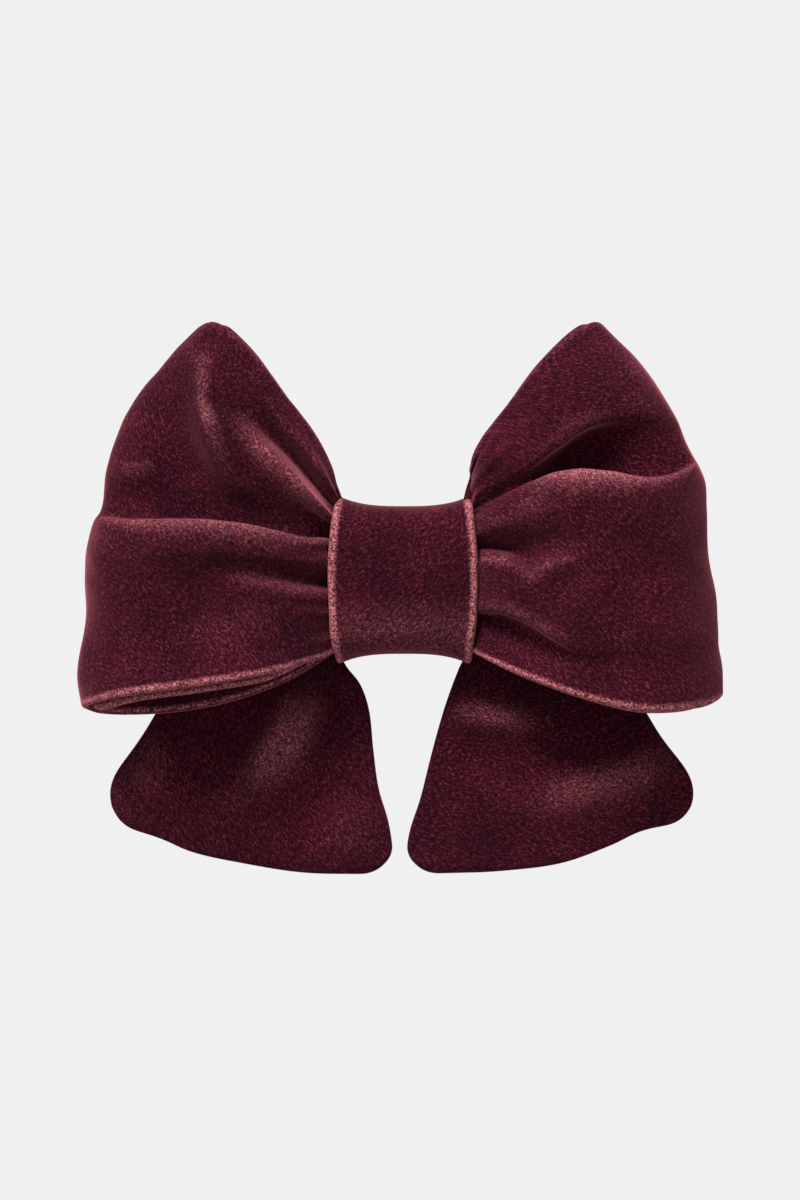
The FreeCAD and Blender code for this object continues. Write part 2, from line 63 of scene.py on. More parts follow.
# A rail is a line that runs over the front of a loop from inside the knot to the outer fold, as
# (across, up, forward) in millimetres, across counted outwards from the centre. The rails of a loop
# follow its pleats and are listed from its bottom edge to its top edge.
LEFT_RAILS = [
    # bottom edge, which flares forward
    [(11, -11.8, 15.4), (14.5, -14.2, 18.4), (20, -16, 22), (28, -18.1, 25), (38, -19.7, 26.8),
     (48, -21, 26.4), (56, -22.2, 23.8), (61.8, -23.6, 19.2), (64.6, -24.8, 13.6)],
    # lower belly
    [(11, -8.5, 15.4), (14.5, -10, 18.2), (20, -11, 21.6), (30, -12.6, 24.6), (42, -14, 25.2),
     (53, -15.4, 23.2), (61.2, -16.8, 18.4), (65.3, -18.4, 13)],
    [(11, -5.4, 15.4), (14.5, -5.4, 18.6), (20, -5.2, 22.4), (30, -5, 25), (42, -5.6, 25.2),
     (53, -6.4, 23.6), (60.8, -6.8, 18.6), (63.8, -7, 13)],
    # top of the small pleat beside the knot
    [(11, -2.8, 15.2), (14.5, -2.6, 18.6), (20, -2, 22.8), (28, -0.9, 25.4), (42, 0.2, 25.8),
     (53, 0, 24), (60.5, -0.4, 19), (63.6, -0.6, 13)],
    # the valley above it
    [(11, -1.4, 14.6), (14.5, -1, 15.8), (20, -0.2, 19.6), (28, 1, 24), (42, 2.8, 26.6),
     (53, 2.4, 24.6), (60.5, 2, 19.4), (63.4, 1.8, 13)],
    # upper belly
    [(11, 2.2, 15.4), (14.5, 3.4, 19.2), (20, 4, 23.4), (30, 5.2, 26.9), (42, 6.6, 28),
     (53, 6.8, 25.6), (60.6, 6.6, 19.8), (63.1, 6.6, 13)],
    # front of the roll under the main ridge
    [(11, 4.4, 15.4), (14.5, 6.7, 18.8), (20, 7.4, 22.8), (30, 9.2, 26), (42, 10.6, 27),
     (53, 10.6, 24.8), (60.2, 10.6, 19.4), (62.5, 10.2, 13)],
    # crest of the main ridge
    [(11, 5, 15), (14.5, 8, 17), (20, 8.9, 20.8), (30, 11, 23.6), (42, 12.3, 24.4),
     (53, 12.3, 22.6), (59.6, 12.6, 18), (61.9, 12.2, 12.8)],
    # the tuck behind it
    [(11, 5.4, 14.7), (14.5, 7.8, 15), (20, 8.4, 17.2), (30, 10, 18.6), (42, 11.4, 18.8),
     (53, 12.2, 18), (59, 13.2, 15.6), (61.2, 13.6, 12.4)],
    # where the upper part comes out of the tuck
    [(11, 6, 14.8), (14.5, 9.4, 15.4), (20, 10.8, 17.4), (30, 13, 18.6), (42, 14.4, 18.4),
     (53, 14.8, 17.4), (59, 15.2, 15), (60.7, 15.2, 12.2)],
    # the valley below the slanting ridge
    [(11, 7, 15), (14.4, 10.8, 16.8), (20, 14, 19.2), (27, 17.6, 20.4), (36, 21, 20.4),
     (46, 23, 19), (55, 22.6, 16.4), (59.4, 22, 12.2)],
    # crest of the slanting ridge
    [(11, 8, 15.2), (14, 12.6, 18.2), (17, 15.8, 21.4), (22, 21, 23.4), (27.4, 26, 24.2),
     (35, 30.4, 22.8), (45, 31.8, 20.2), (52.4, 31.2, 17), (56.8, 30.4, 12.4)],
    # the slit behind it
    [(11, 9, 14.6), (13.6, 13.6, 14.8), (16.3, 16.8, 15.8), (20.6, 22.2, 17.4), (25.4, 27.4, 19.2),
     (31.4, 33, 21.6), (39, 37, 21), (47, 37.8, 18.2), (53.4, 36.6, 12.6)],
    # the band beside the top edge
    [(11, 10, 15.2), (13.2, 15.4, 18), (15.8, 19.4, 20), (19, 24.2, 21.4), (23.4, 30.2, 22.2),
     (29, 36.8, 22), (36.4, 42, 20.6), (43, 43.6, 18), (48.4, 43.2, 13)],
    # top edge
    [(11, 11.8, 14.8), (12.6, 16.2, 16.6), (15, 23, 18.4), (18.8, 30, 19.6), (24.2, 37, 20.2),
     (30, 44, 19.8), (34.8, 48.6, 18.4), (38.6, 51.0, 16.4), (41.2, 50.4, 13.6)],
]
RIGHT_RAILS = [
    # bottom edge
    [(11, -11.8, 15.4), (14.5, -14.2, 18), (20, -16.8, 21.4), (28.6, -20.3, 24), (38, -23.3, 25.4),
     (47, -25.1, 25), (55, -25.1, 22.2), (60.8, -24.2, 18), (63.6, -22.6, 13.5)],
    # dark strip under the lower pleat
    [(11, -9.6, 15.2), (14.5, -11.2, 17.6), (20, -13.2, 20.2), (28.6, -16.8, 22.6),
     (38, -19.6, 24.6), (47, -20.4, 24.8), (55, -20, 22.2), (60.6, -18.8, 17.8), (63.6, -17.6, 13.2)],
    # where it comes out from behind the lip
    [(11, -7.8, 14.8), (14.5, -8.4, 16.2), (20, -8.8, 18.2), (25, -11.2, 19.8), (30, -14.2, 21.4),
     (36, -16.6, 23.8), (46, -16.4, 25), (55, -15, 22.6), (60.8, -13.8, 17.8), (63, -12.8, 13.2)],
    # behind the lip of the lower pleat
    [(11, -7.2, 14.8), (14.5, -7, 16.6), (20, -7, 18.8), (25, -9.2, 20.8), (30, -12.4, 22.2),
     (36, -15.4, 24.2), (46, -14.8, 25.2), (55, -13.2, 22.8), (60.8, -12, 17.8), (63, -11.2, 13.2)],
    # that lip
    [(11, -6.6, 15.2), (14.5, -6.8, 18.4), (20, -7.2, 21.8), (25, -9.2, 23.4), (30, -12, 24.6),
     (36, -14, 25.4), (46, -12.8, 25.8), (55, -11, 23), (60.8, -9.8, 17.8), (62.9, -9.2, 13.2)],
    # body of the lower pleat
    [(11, -3.4, 15.4), (14.5, -2.6, 19), (20, -2.8, 23), (28.6, -4.8, 25.8), (36, -6, 26.8),
     (46, -5.2, 26), (55, -4.2, 22.6), (60.6, -3.8, 17.6), (62.6, -3.6, 13.2)],
    # front of the roll under the middle ridge
    [(11, 1.4, 15.4), (14.5, 3.6, 18.8), (20, 3.8, 22.4), (25.2, 1.6, 24.4), (31, 1.6, 25.6),
     (38, 2.4, 26.4), (47, 2.4, 25.6), (55, 2.8, 22.4), (60, 3, 17.4), (61.5, 3, 13.2)],
    # crest of the middle ridge
    [(11, 2.8, 15.2), (14.2, 5.5, 17.2), (20, 5.4, 20.8), (25.2, 3.6, 23.4), (31, 4.6, 25.6),
     (38, 5.4, 26.6), (47, 5.4, 25.6), (55, 5.8, 22.4), (59.6, 6, 17.2), (60.8, 6, 13.2)],
    # the valley above it
    [(11, 3.4, 14.6), (14.2, 6.2, 15.2), (20, 6.2, 17.6), (25.2, 5.6, 21.8), (31, 7.2, 25.2),
     (38, 8.4, 26.8), (47, 8.6, 25.6), (55, 9, 22.2), (59.4, 9.4, 17), (60.4, 9.6, 13.2)],
    # body of the upper pleat
    [(11, 5.2, 15.4), (14.2, 8.8, 18.8), (20, 10.4, 22.8), (28, 12.6, 26), (36, 13.8, 27.2),
     (46, 13.8, 25.8), (54.6, 14.2, 22), (59, 14.6, 17), (60, 14.6, 13.2)],
    # front of the roll under the main ridge
    [(11, 7.6, 15.4), (14.2, 12, 18), (20, 14.8, 22), (28, 18.6, 25), (36, 20.4, 26.2),
     (46, 19.2, 24.8), (54, 19.6, 21.4), (58.6, 20.6, 16.8), (59.8, 20, 13.2)],
    # crest of the main ridge
    [(11, 8.4, 15), (13.6, 13.2, 16.6), (18.6, 15.9, 19.8), (25, 19.4, 22.2), (33, 22.2, 23.6),
     (41, 21.9, 23.2), (48, 20.6, 22.2), (54, 21.6, 19.8), (57.8, 23, 16.4), (58.8, 22.6, 13)],
    # the tuck behind it
    [(11, 8.8, 14.6), (13.6, 13.4, 15.6), (18.6, 16.2, 18.6), (25, 19.2, 19.6), (31, 20.6, 16.6),
     (37, 20.6, 15.6), (45, 19.8, 16), (53, 21.2, 16.4), (57, 23.8, 15), (58, 24, 12.8)],
    # floor of the hollow above the main ridge
    [(11, 9.2, 14.8), (13.6, 14.1, 15.9), (18.6, 17, 18.8), (25, 20.4, 19.8), (31, 23.4, 16.6),
     (37, 25.6, 15.4), (45, 25.6, 16), (53.4, 25.8, 16), (56.2, 26.4, 14.6), (56.9, 26.2, 12.5)],
    # behind the lip of the upper part
    [(11, 9.6, 15), (13.6, 14.8, 16.4), (18.4, 18, 19.4), (25, 21.8, 20.8), (31, 26, 19.2),
     (37, 29.4, 17.8), (45, 30.4, 17.6), (51.6, 30, 16.4), (55, 29.4, 14.2), (55.7, 29.2, 12.3)],
    # that lip
    [(11, 10, 15.2), (13.6, 15.6, 17.2), (18.2, 18.8, 20.2), (24.6, 22.6, 22.2), (31, 26.2, 22.8),
     (37, 29.8, 21.8), (44, 32, 19.8), (50.4, 32.4, 17.2), (54, 32, 14.6), (54.6, 31.8, 12.3)],
    # upper part
    [(11, 10.6, 15.2), (13.2, 17.2, 18), (17, 22.4, 20.8), (23, 27.8, 23), (30, 32.8, 23.2),
     (37, 36.6, 21.6), (44, 38.6, 19), (48.6, 38.8, 16.2), (50.4, 38.4, 12.8)],
    [(11, 11.2, 15.2), (12.6, 19, 17.6), (16.4, 27, 20), (22, 34, 21.4), (28.6, 40, 21.4),
     (35.4, 44.2, 19.8), (41, 46, 17.2), (44.6, 46, 13.2)],
    # top edge
    [(11, 11.8, 14.8), (12.4, 17.5, 16.6), (14.8, 25.6, 18.4), (18.6, 31.8, 19.6),
     (22.6, 37.2, 20.2), (27.2, 42.6, 20), (31.8, 46.8, 19), (35.6, 49.6, 17.2),
     (39, 51.2, 14.6), (40.2, 50.8, 12.8)],
]
RAILS = {"left": LEFT_RAILS, "right": RIGHT_RAILS}
WAIST_REACH = 11  # where the rails start inside the knot, in millimetres from the centre
BACK_DEPTH = 7.7  # how far a loop's back lies in front of the jaws' plane, in millimetres
BAND_EDGE = 13.5  # half the knot band's width, in millimetres
BAND_INSIDE = 15.5  # how far forward a loop may stand inside the band, in millimetres
# How far the back of a loop hangs below the straight line from its fold to the knot, in millimetres
BACK_SAG = {"left": 5.6, "right": 0.5}


def hermite(points, at_points, wanted):
    """A smooth curve through points given at the numbers at_points, read at the wanted numbers."""
    points = np.asarray(points, float)
    step = np.diff(at_points)
    shape = (-1,) + (1,) * (points.ndim - 1)
    slope = np.diff(points, axis=0) / step.reshape(shape)
    before, after = step[:-1].reshape(shape), step[1:].reshape(shape)
    middle = (slope[:-1] * after + slope[1:] * before) / (before + after)
    tangent = np.concatenate([slope[:1], middle, slope[-1:]])
    index = np.clip(np.searchsorted(at_points, wanted, side="right") - 1, 0, len(step) - 1)
    h = step[index].reshape(shape)
    t = ((wanted - np.asarray(at_points)[index]) / step[index]).reshape(shape)
    return ((2 * t**3 - 3 * t**2 + 1) * points[index] + (t**3 - 2 * t**2 + t) * h * tangent[index]
            + (3 * t**2 - 2 * t**3) * points[index + 1] + (t**3 - t**2) * h * tangent[index + 1])


def chord(points, power=1.0):
    """Running distance along points, each step raised to a power."""
    steps = np.linalg.norm(np.diff(np.asarray(points, float), axis=0), axis=1) ** power
    return np.concatenate([[0], np.cumsum(steps)])


def along(points, count):
    """Points at equal steps on the smooth curve through the given ones."""
    fine = hermite(points, chord(points, 0.5), np.linspace(0, chord(points, 0.5)[-1], 600))
    length = chord(fine)
    wanted = np.linspace(0, length[-1], count)
    return np.stack([np.interp(wanted, length, fine[:, k]) for k in range(3)], axis=1)


def smooth_step(x, low, high):
    """0 up to low, 1 from high, and an even rise between them."""
    t = np.clip((x - low) / (high - low), 0, 1)
    return t * t * (3 - 2 * t)


def soften(grid, rounds):
    """Evens a grid of points out, its border left where it is."""
    grid = grid.copy()
    for _ in range(rounds):
        grid[1:-1] = 0.5 * grid[1:-1] + 0.25 * (grid[2:] + grid[:-2])
        grid[:, 1:-1] = 0.5 * grid[:, 1:-1] + 0.25 * (grid[:, 2:] + grid[:, :-2])
    return grid


def calmed(grid, rounds):
    """A grid of points with its folds evened out, its border too."""
    return soften(np.pad(grid, ((1, 1), (1, 1), (0, 0)), "edge"), rounds)[1:-1, 1:-1]


def grid_normals(grid):
    """The direction across the surface at each point of a grid."""
    normal = np.cross(np.gradient(grid, axis=0), np.gradient(grid, axis=1))
    return normal / np.maximum(np.linalg.norm(normal, axis=2, keepdims=True), 1e-12)


def wave_noise(points, size, seed):
    """A smooth random height, between about -1 and 1, whose bumps are about size across."""
    maker = np.random.default_rng(seed)
    total = np.zeros(points.shape[:-1])
    for _ in range(10):
        direction = maker.normal(size=3)
        direction /= np.linalg.norm(direction)
        total += np.cos(points @ direction * 2 * math.pi / (size * maker.uniform(0.8, 1.6))
                        + maker.uniform(0, 2 * math.pi))
    return total / 4.5


def surface_through(rows, count, power=1.0):
    """A smooth surface through rows of points, and where along it from 0 to 1 each row lies."""
    rows = np.array(rows)
    gaps = np.linalg.norm(np.diff(rows, axis=0), axis=2).mean(axis=1) ** power
    places = np.concatenate([[0], np.cumsum(gaps)])
    return hermite(rows, places, np.linspace(0, places[-1], count)), places / places[-1]


def in_frame(grid, side):
    """Points given as (outwards, up, forward) in millimetres, as points of the frame."""
    return np.stack([side * grid[..., 0], -grid[..., 2], grid[..., 1]], axis=2) * MM


def returning_rail(rail, share, sag):
    """How a rail goes on from the fold along the back to the knot."""
    waist_up, (fold_across, fold_up, _) = rail[0][1], rail[-1]
    tuck = 1.6 * share**6  # keeps the back's top edge below the front's
    returning = [(0.985 * fold_across, fold_up - 0.4 * tuck - 0.10 * sag, 9.4),
                 (0.94 * fold_across, fold_up - tuck - 0.22 * sag, 7.9)]
    for step in (0.75, 0.5, 0.25):
        reach = WAIST_REACH + (0.94 * fold_across - WAIST_REACH) * step
        height = waist_up + (fold_up - waist_up) * step - sag * math.sin(math.pi * step) ** 0.7
        returning.append((reach, height - tuck, BACK_DEPTH))
    return returning + [(WAIST_REACH, waist_up, BACK_DEPTH)]


def loop_grid(name, across=150, front=120, behind=110):
    """The outer surface of a loop: rows run round it, from the knot over the front and back."""
    rows = []
    for number, rail in enumerate(RAILS[name]):
        share = number / (len(RAILS[name]) - 1)
        path = rail + returning_rail(rail, share, BACK_SAG[name] * math.exp(-share / 0.2))
        fine = along(path, 700)
        turn = int(np.argmin(np.linalg.norm(fine - np.array(rail[-1]), axis=1)))
        rows.append(np.concatenate([along(fine[:turn + 1:4], front),
                                    along(fine[turn::4], behind)[1:]]))
    grid, rail_rows = surface_through(rows, across, 0.7)
    grid = soften(grid, 3)
    past_band = np.clip((grid[..., 0] - BAND_EDGE) / 7, 0, None)
    grid[..., 2] = np.minimum(grid[..., 2], BAND_INSIDE + 7.8 * np.sqrt(past_band))
    grid[:, :front] = soften(grid[:, :front], 2)
    return in_frame(grid, SIDES[name]), rail_rows


def bump(grid, line, width, height):
    """The height of a ridge along a line drawn on the front, which fades towards its ends."""
    line = np.array(line, float) * MM
    length = chord(line) / chord(line)[-1]
    flat = grid[..., [0, 2]]
    best, share = np.full(flat.shape[:-1], 1e9), np.zeros(flat.shape[:-1])
    for start, end, from_share, to_share in zip(line, line[1:], length, length[1:]):
        run = end - start
        t = np.clip(((flat - start) @ run) / (run @ run), 0, 1)
        distance = np.linalg.norm(flat - start - t[..., None] * run, axis=-1)
        share = np.where(distance < best, from_share + t * (to_share - from_share), share)
        best = np.minimum(best, distance)
    fade = smooth_step(share, -0.25, 0.35) * smooth_step(-share, -1.25, -0.65)
    return height * MM * fade * np.exp(-((best / (width * MM)) ** 2))


def ridges(grid, lines):
    """The summed height of several ridges."""
    return sum(bump(grid, *line) for line in lines)


# Soft folds on the front of a loop: a line as (across, up), a width and a height, in millimetres.
# The upper ones are only on the part above the tuck.
UPPER_FOLDS = {
    "left": [([(-30, 13), (-32, 17.4), (-36, 23), (-38.8, 29), (-40, 35), (-40, 42)], 3.0, 1.7),
             ([(-36, 16), (-42, 22), (-46, 30), (-46, 40)], 4.6, -1.6),
             ([(-48, 22), (-54, 21), (-58, 20)], 4.0, 1.0)],
    "right": [],
}
FOLDS = {
    "left": [([(-30, -8), (-42, -7), (-52, -5)], 6.0, -0.6)],
    "right": [([(25, 0), (28.6, 2.2), (35, 4.4)], 2.4, 1.2),
              ([(23.4, 4.4), (26.4, 1.8)], 1.6, -0.8),
              ([(38, 11), (48, 15)], 5.0, 0.6),
              ([(36, -4), (44, -2), (52, 2)], 6.0, -0.7),
              ([(34, 44), (44, 38), (52, 30)], 4.0, 0.5)],
}
TUCK_RAILS = (9, 10)  # the left loop's rails that its upper part starts between


def shape_loop(name):
    """A loop's outer surface with its soft folds, from its rails."""
    grid, rail_rows = loop_grid(name)
    side = SIDES[name]
    rows = np.linspace(0, 1, grid.shape[0])[:, None]
    above = smooth_step(rows, *rail_rows[list(TUCK_RAILS)])
    lift = np.zeros(grid.shape[:2])
    for fold in UPPER_FOLDS[name]:
        lift += above * bump(grid, *fold)
    for fold in FOLDS[name]:
        lift += bump(grid, *fold)
    reach = np.abs(grid[..., 0])
    gather = 1 - smooth_step(reach, 13 * MM, 24 * MM)
    pleats = np.sin(rows * 2 * math.pi * 9 + 1.3 * side) + 0.6 * np.sin(rows * 2 * math.pi * 17 + 2)
    lift += 0.2 * MM * gather * smooth_step(reach, 11.5 * MM, 14 * MM) * pleats
    lift += 0.32 * MM * wave_noise(grid, 18 * MM, 3 + side) * smooth_step(reach, 14 * MM, 22 * MM)
    lift += 0.05 * MM * wave_noise(grid, 5 * MM, 8 + side)
    normal = grid_normals(soften(grid, 6)) * -side
    on_front = smooth_step(-grid[..., 1], 9 * MM, 11 * MM)
    return grid + normal * (lift * on_front)[..., None]


def column_directions(grid):
    """For each column of a grid, the level direction that its outside faces."""
    run = np.gradient(grid[..., :2].mean(axis=0), axis=0)
    run = soften(run[None], 12)[0]
    facing = np.stack([run[:, 1], -run[:, 0]], axis=1)
    return facing / np.linalg.norm(facing, axis=1, keepdims=True)


def fold_strength(grid):
    """How far each point of a grid stands off the evened grid."""
    return soften(np.linalg.norm(grid - calmed(grid, 14), axis=2)[..., None], 4)[..., 0]


def grid_quads(rows, columns):
    """The faces of a grid, as the numbers of their corners."""
    index = np.arange(rows * columns).reshape(rows, columns)
    return np.stack([index[:-1, :-1], index[1:, :-1], index[1:, 1:], index[:-1, 1:]],
                    axis=-1).reshape(-1, 4)


SETTLE_STEPS = 20  # frames of cloth simulation


def settle(name, grid, hold, every=3, most=0.9 * MM):
    """Lets a cut sheet find its own small folds as cloth, held where it is sewn or creased.

    The cloth has every third point of the grid, and no point moves further than most.
    """
    coarse = grid[::every, ::every]
    rows, columns = coarse.shape[:2]
    sheet = new_piece(name, coarse.reshape(-1, 3), grid_quads(rows, columns).tolist())
    group = sheet.vertex_groups.new(name="hold")
    for number, weight in enumerate(hold[::every, ::every].ravel()):
        group.add([number], float(weight), "REPLACE")
    cloth = sheet.modifiers.new("cloth", "CLOTH")
    cloth.settings.vertex_group_mass = "hold"
    cloth.settings.pin_stiffness = 0.6
    cloth.settings.mass = 0.25
    cloth.settings.tension_stiffness = 25
    cloth.settings.compression_stiffness = 25
    cloth.settings.bending_stiffness = 12.0
    cloth.settings.shrink_min = -0.012
    cloth.settings.use_pressure = True
    cloth.settings.uniform_pressure_force = 1.0
    cloth.settings.effector_weights.gravity = 0.3
    cloth.point_cache.frame_end = SETTLE_STEPS
    scene = bpy.context.scene
    for number in range(1, SETTLE_STEPS + 1):
        scene.frame_set(number)
    settled = sheet.evaluated_get(bpy.context.evaluated_depsgraph_get())
    found = np.empty(rows * columns * 3)
    settled.data.vertices.foreach_get("co", found)
    bpy.data.objects.remove(sheet)
    scene.frame_set(1)
    moved = found.reshape(rows, columns, 3) - coarse
    length = np.linalg.norm(moved, axis=2, keepdims=True)
    moved *= most * np.tanh(length / most) / np.maximum(length, 1e-9)
    moved = soften(moved, 3)
    row_index = np.minimum(np.arange(grid.shape[0])[:, None] / every, rows - 1)
    column_index = np.minimum(np.arange(grid.shape[1])[None] / every, columns - 1)
    spread = read_grid(moved, *np.broadcast_arrays(row_index, column_index))
    return grid + soften(spread, 4)


FRONT_INSIDE = 11.75 * MM  # the inside of a loop's front stays at least this far forward
BACK_INSIDE = 11.35 * MM  # and the inside of its back at most this far


def inner_grid(outer, side, lip_drop):
    """The inside of a loop: a ball of the padding's thickness rolled along inside each column."""
    facing = column_directions(outer) * side
    inside = np.empty_like(outer)
    samples = 160
    for column in range(outer.shape[1]):
        points = outer[:, column]
        up = points[:, 2]
        height = points[:, :2] @ facing[column]
        beside = points[:, 0] * -facing[column, 1] + points[:, 1] * facing[column, 0]
        levels = np.linspace(up.min(), up.max(), samples)
        lowest = np.full(samples, np.inf)
        sideways = np.zeros(samples)
        for low, high, h_low, h_high, b_low, b_high in zip(up, up[1:], height, height[1:],
                                                          beside, beside[1:]):
            first, last = np.searchsorted(levels, [min(low, high) - 1e-9, max(low, high) + 1e-9])
            share = (levels[first:last] - low) / (high - low if high != low else 1)
            value = h_low + (h_high - h_low) * share
            better = value < lowest[first:last]
            lowest[first:last] = np.where(better, value, lowest[first:last])
            sideways[first:last] = np.where(better, b_low + (b_high - b_low) * share,
                                            sideways[first:last])
        gap = levels[:, None] - levels[None, :]
        ball = np.sqrt(np.clip(SANDWICH**2 - gap**2, 0, None))
        rolled = np.where(np.abs(gap) <= SANDWICH, lowest[None, :] - ball, np.inf).min(axis=1)
        climbing = np.maximum.accumulate(soften(up[:, None], 30)[:, 0])
        even = np.linspace(up[0], up[-1], len(up))
        wanted = np.clip(0.7 * climbing + 0.3 * even, levels[0], levels[-1])
        new_height = np.interp(wanted, levels, rolled)
        new_beside = np.interp(wanted, levels, sideways)
        normal, along_it = facing[column], np.array([-facing[column, 1], facing[column, 0]])
        inside[:, column, :2] = new_height[:, None] * normal + new_beside[:, None] * along_it
        inside[:, column, 2] = wanted
    inside = soften(inside, 8)
    front = np.argmax(np.abs(outer[..., 0]).mean(axis=0))
    inside[:, :front, 1] = np.minimum(inside[:, :front, 1], -FRONT_INSIDE)
    inside[:, front:, 1] = np.maximum(inside[:, front:, 1], -BACK_INSIDE)
    from_edge = chord(inside[:, front // 2])[:, None]
    shown = smooth_step(np.abs(outer[..., 0]), 12 * MM, 30 * MM)
    shown = shown * smooth_step(-outer[..., 1], 12 * MM, 21 * MM)
    inside[..., 2] -= lip_drop * shown * (1 - smooth_step(from_edge, 0, 7 * MM))
    from_top = from_edge[-1] - from_edge
    inside[..., 2] -= TOP_DROP * (1 - smooth_step(from_top, 0, 6 * MM))
    return inside


def cloth_layer(name, outer, inner, rim_highlights=(0, 0, 0, 0), grain=0.0, steps=5, highlight_patches=0.0):
    """A closed layer of cloth between two grids, its border rounded like a folded edge.

    The rim highlights say how strong a painted highlight is along the first row, the last row,
    the first column and the last column, from 0 to 1. grain is how the weave lies on the grid, in
    radians. The highlight patches are a painted highlight at each point of the outer grid.
    """
    rows, columns = outer.shape[:2]
    index = np.arange(rows * columns).reshape(rows, columns)
    border = np.concatenate([index[0, :-1], index[:-1, -1], index[-1, :0:-1], index[:0:-1, 0]])
    row, column = np.divmod(border, columns)
    within = np.clip(row, 1, rows - 2), np.clip(column, 1, columns - 2)
    edge_out, edge_in = outer[row, column], inner[row, column]
    thickness = edge_out - edge_in
    middle = (edge_out + edge_in) / 2
    away = np.cross(np.roll(middle, -1, axis=0) - np.roll(middle, 1, axis=0), thickness)
    away *= -np.sign(np.sum(away * (outer[within] - edge_out), axis=1, keepdims=True))
    for _ in range(6):
        away /= np.maximum(np.linalg.norm(away, axis=1, keepdims=True), 1e-12)
        away = away + 0.5 * (np.roll(away, 1, axis=0) + np.roll(away, -1, axis=0))
    away /= np.linalg.norm(away, axis=1, keepdims=True)
    rounding = np.linalg.norm(thickness, axis=1, keepdims=True) / 2
    angles = np.linspace(0, math.pi, steps + 2)[1:-1]
    rings = [middle + thickness / 2 * math.cos(angle) + away * rounding * math.sin(angle)
             for angle in angles]
    points = np.concatenate([outer.reshape(-1, 3), inner.reshape(-1, 3)] + rings)

    quads = grid_quads(rows, columns)
    back = rows * columns
    ring = [border] + [2 * back + np.arange(number * len(border), (number + 1) * len(border))
                       for number in range(steps)] + [back + border]
    faces = [quads, quads[:, ::-1] + back]
    for one, other in zip(ring, ring[1:]):
        faces.append(np.stack([one, np.roll(one, -1), np.roll(other, -1), other], axis=1))
    piece = new_piece(name, points, np.concatenate(faces).tolist())

    highlight_strength = np.repeat([rim_highlights[0], rim_highlights[3], rim_highlights[1], rim_highlights[2]],
                       [columns - 1, rows - 1, columns - 1, rows - 1])
    # painted highlight: on the crests of both faces, where the highlight patches lie, and round the
    # rims, fading towards the inner face
    painted_highlight = [np.maximum(painted_highlight_of(outer, inner, rim_highlights), highlight_patches), painted_highlight_of(inner, outer, rim_highlights),
             np.linspace(1, 0.3, steps)[:, None] * highlight_strength]
    keep_at_points(piece, "painted_highlight", "FLOAT", "value", [part.ravel() for part in painted_highlight])
    at = cloth_places(outer, grain)
    further = at[row, column] - at[within]
    further /= np.maximum(np.linalg.norm(further, axis=1, keepdims=True), 1e-9)
    round_it = [(at[row, column] + further * rounding * angle).ravel() for angle in angles]
    keep_at_points(piece, "cloth_at", "FLOAT_VECTOR", "vector", [at.ravel(), at.ravel()] + round_it)
    return piece


def keep_at_points(piece, name, kind, key, parts):
    """Keeps a value for each point of a piece, which its material can read."""
    attribute = piece.data.attributes.new(name, kind, "POINT")
    attribute.data.foreach_set(key, np.concatenate(parts))


def cloth_places(grid, grain):
    """Where each point of a grid lies on the flat cloth, in metres, turned to its weave."""
    along_row = np.linalg.norm(np.diff(grid, axis=1), axis=2).cumsum(axis=1)
    along_row = np.pad(along_row, ((0, 0), (1, 0)))
    along_row -= along_row[:, grid.shape[1] // 2, None]
    along_column = np.linalg.norm(np.diff(grid, axis=0), axis=2).cumsum(axis=0)
    along_column = np.pad(along_column, ((1, 0), (0, 0)))
    along_column -= along_column[grid.shape[0] // 2]
    rightwards = np.sign(grid[0, 1, 0] - grid[0, 0, 0])
    x, y = along_row * rightwards, along_column
    c, s = math.cos(grain), math.sin(grain)
    return np.stack([c * x + s * y, c * y - s * x, np.zeros_like(x)], axis=2)


def new_piece(name, points, faces):
    """A smooth mesh object whose faces all look outwards."""
    mesh = bpy.data.meshes.new(name)
    mesh.from_pydata(np.asarray(points).tolist(), [], faces)
    tidy = bmesh.new()
    tidy.from_mesh(mesh)
    bmesh.ops.recalc_face_normals(tidy, faces=tidy.faces)
    tidy.to_mesh(mesh)
    tidy.free()
    mesh.shade_smooth()
    piece = bpy.data.objects.new(name, mesh)
    bpy.context.scene.collection.objects.link(piece)
    return piece


def painted_highlight_of(grid, beneath, rim_highlights):
    """A painted highlight from 0 to 1 at each point of a grid: on crests facing up, and along rims.
    """
    normal = grid_normals(grid)
    normal *= np.sign(np.sum((grid - beneath) * normal))
    bulge = soften(np.sum((grid - calmed(grid, 30)) * normal, axis=2)[..., None], 3)[..., 0]
    painted_highlight = np.clip((bulge - 0.18 * MM) / (0.75 * MM), 0, 1)
    # painted highlight: stronger where a crest faces up towards the overhead lamp, weaker where it
    # faces sideways
    painted_highlight *= 0.25 + 0.75 * smooth_step(normal[..., 2], -0.3, 0.5)
    painted_highlight *= 1 - 0.9 * smooth_step(np.abs(normal[..., 0]), 0.4, 0.8)
    row_at = chord(grid[:, grid.shape[1] // 2])[:, None]
    column_at = chord(grid[grid.shape[0] // 2])[None]
    distances = (row_at, row_at[-1] - row_at, column_at, column_at[:, -1:] - column_at)
    for strength, distance in zip(rim_highlights, distances):
        painted_highlight = np.maximum(painted_highlight, strength * (1 - smooth_step(distance, 0.1 * MM, RIM_WIDTH)))
    return painted_highlight


def between(outer, inner, share):
    """The grid a share of the way from one grid to another."""
    return outer + (inner - outer) * share


def place(piece, node, slot):
    """Puts a piece on the bow in place of a CAD node, in its slot's material."""
    piece.data.materials.append(LOOKS[slot])
    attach(piece, "bow")
    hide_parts(node)


# ---------------------------------------------------------------- materials

PILE_ROW = 0.41 * MM  # from one row of tufts to the next
STROKE = 0.42  # how much slower the pile changes along a row than across it


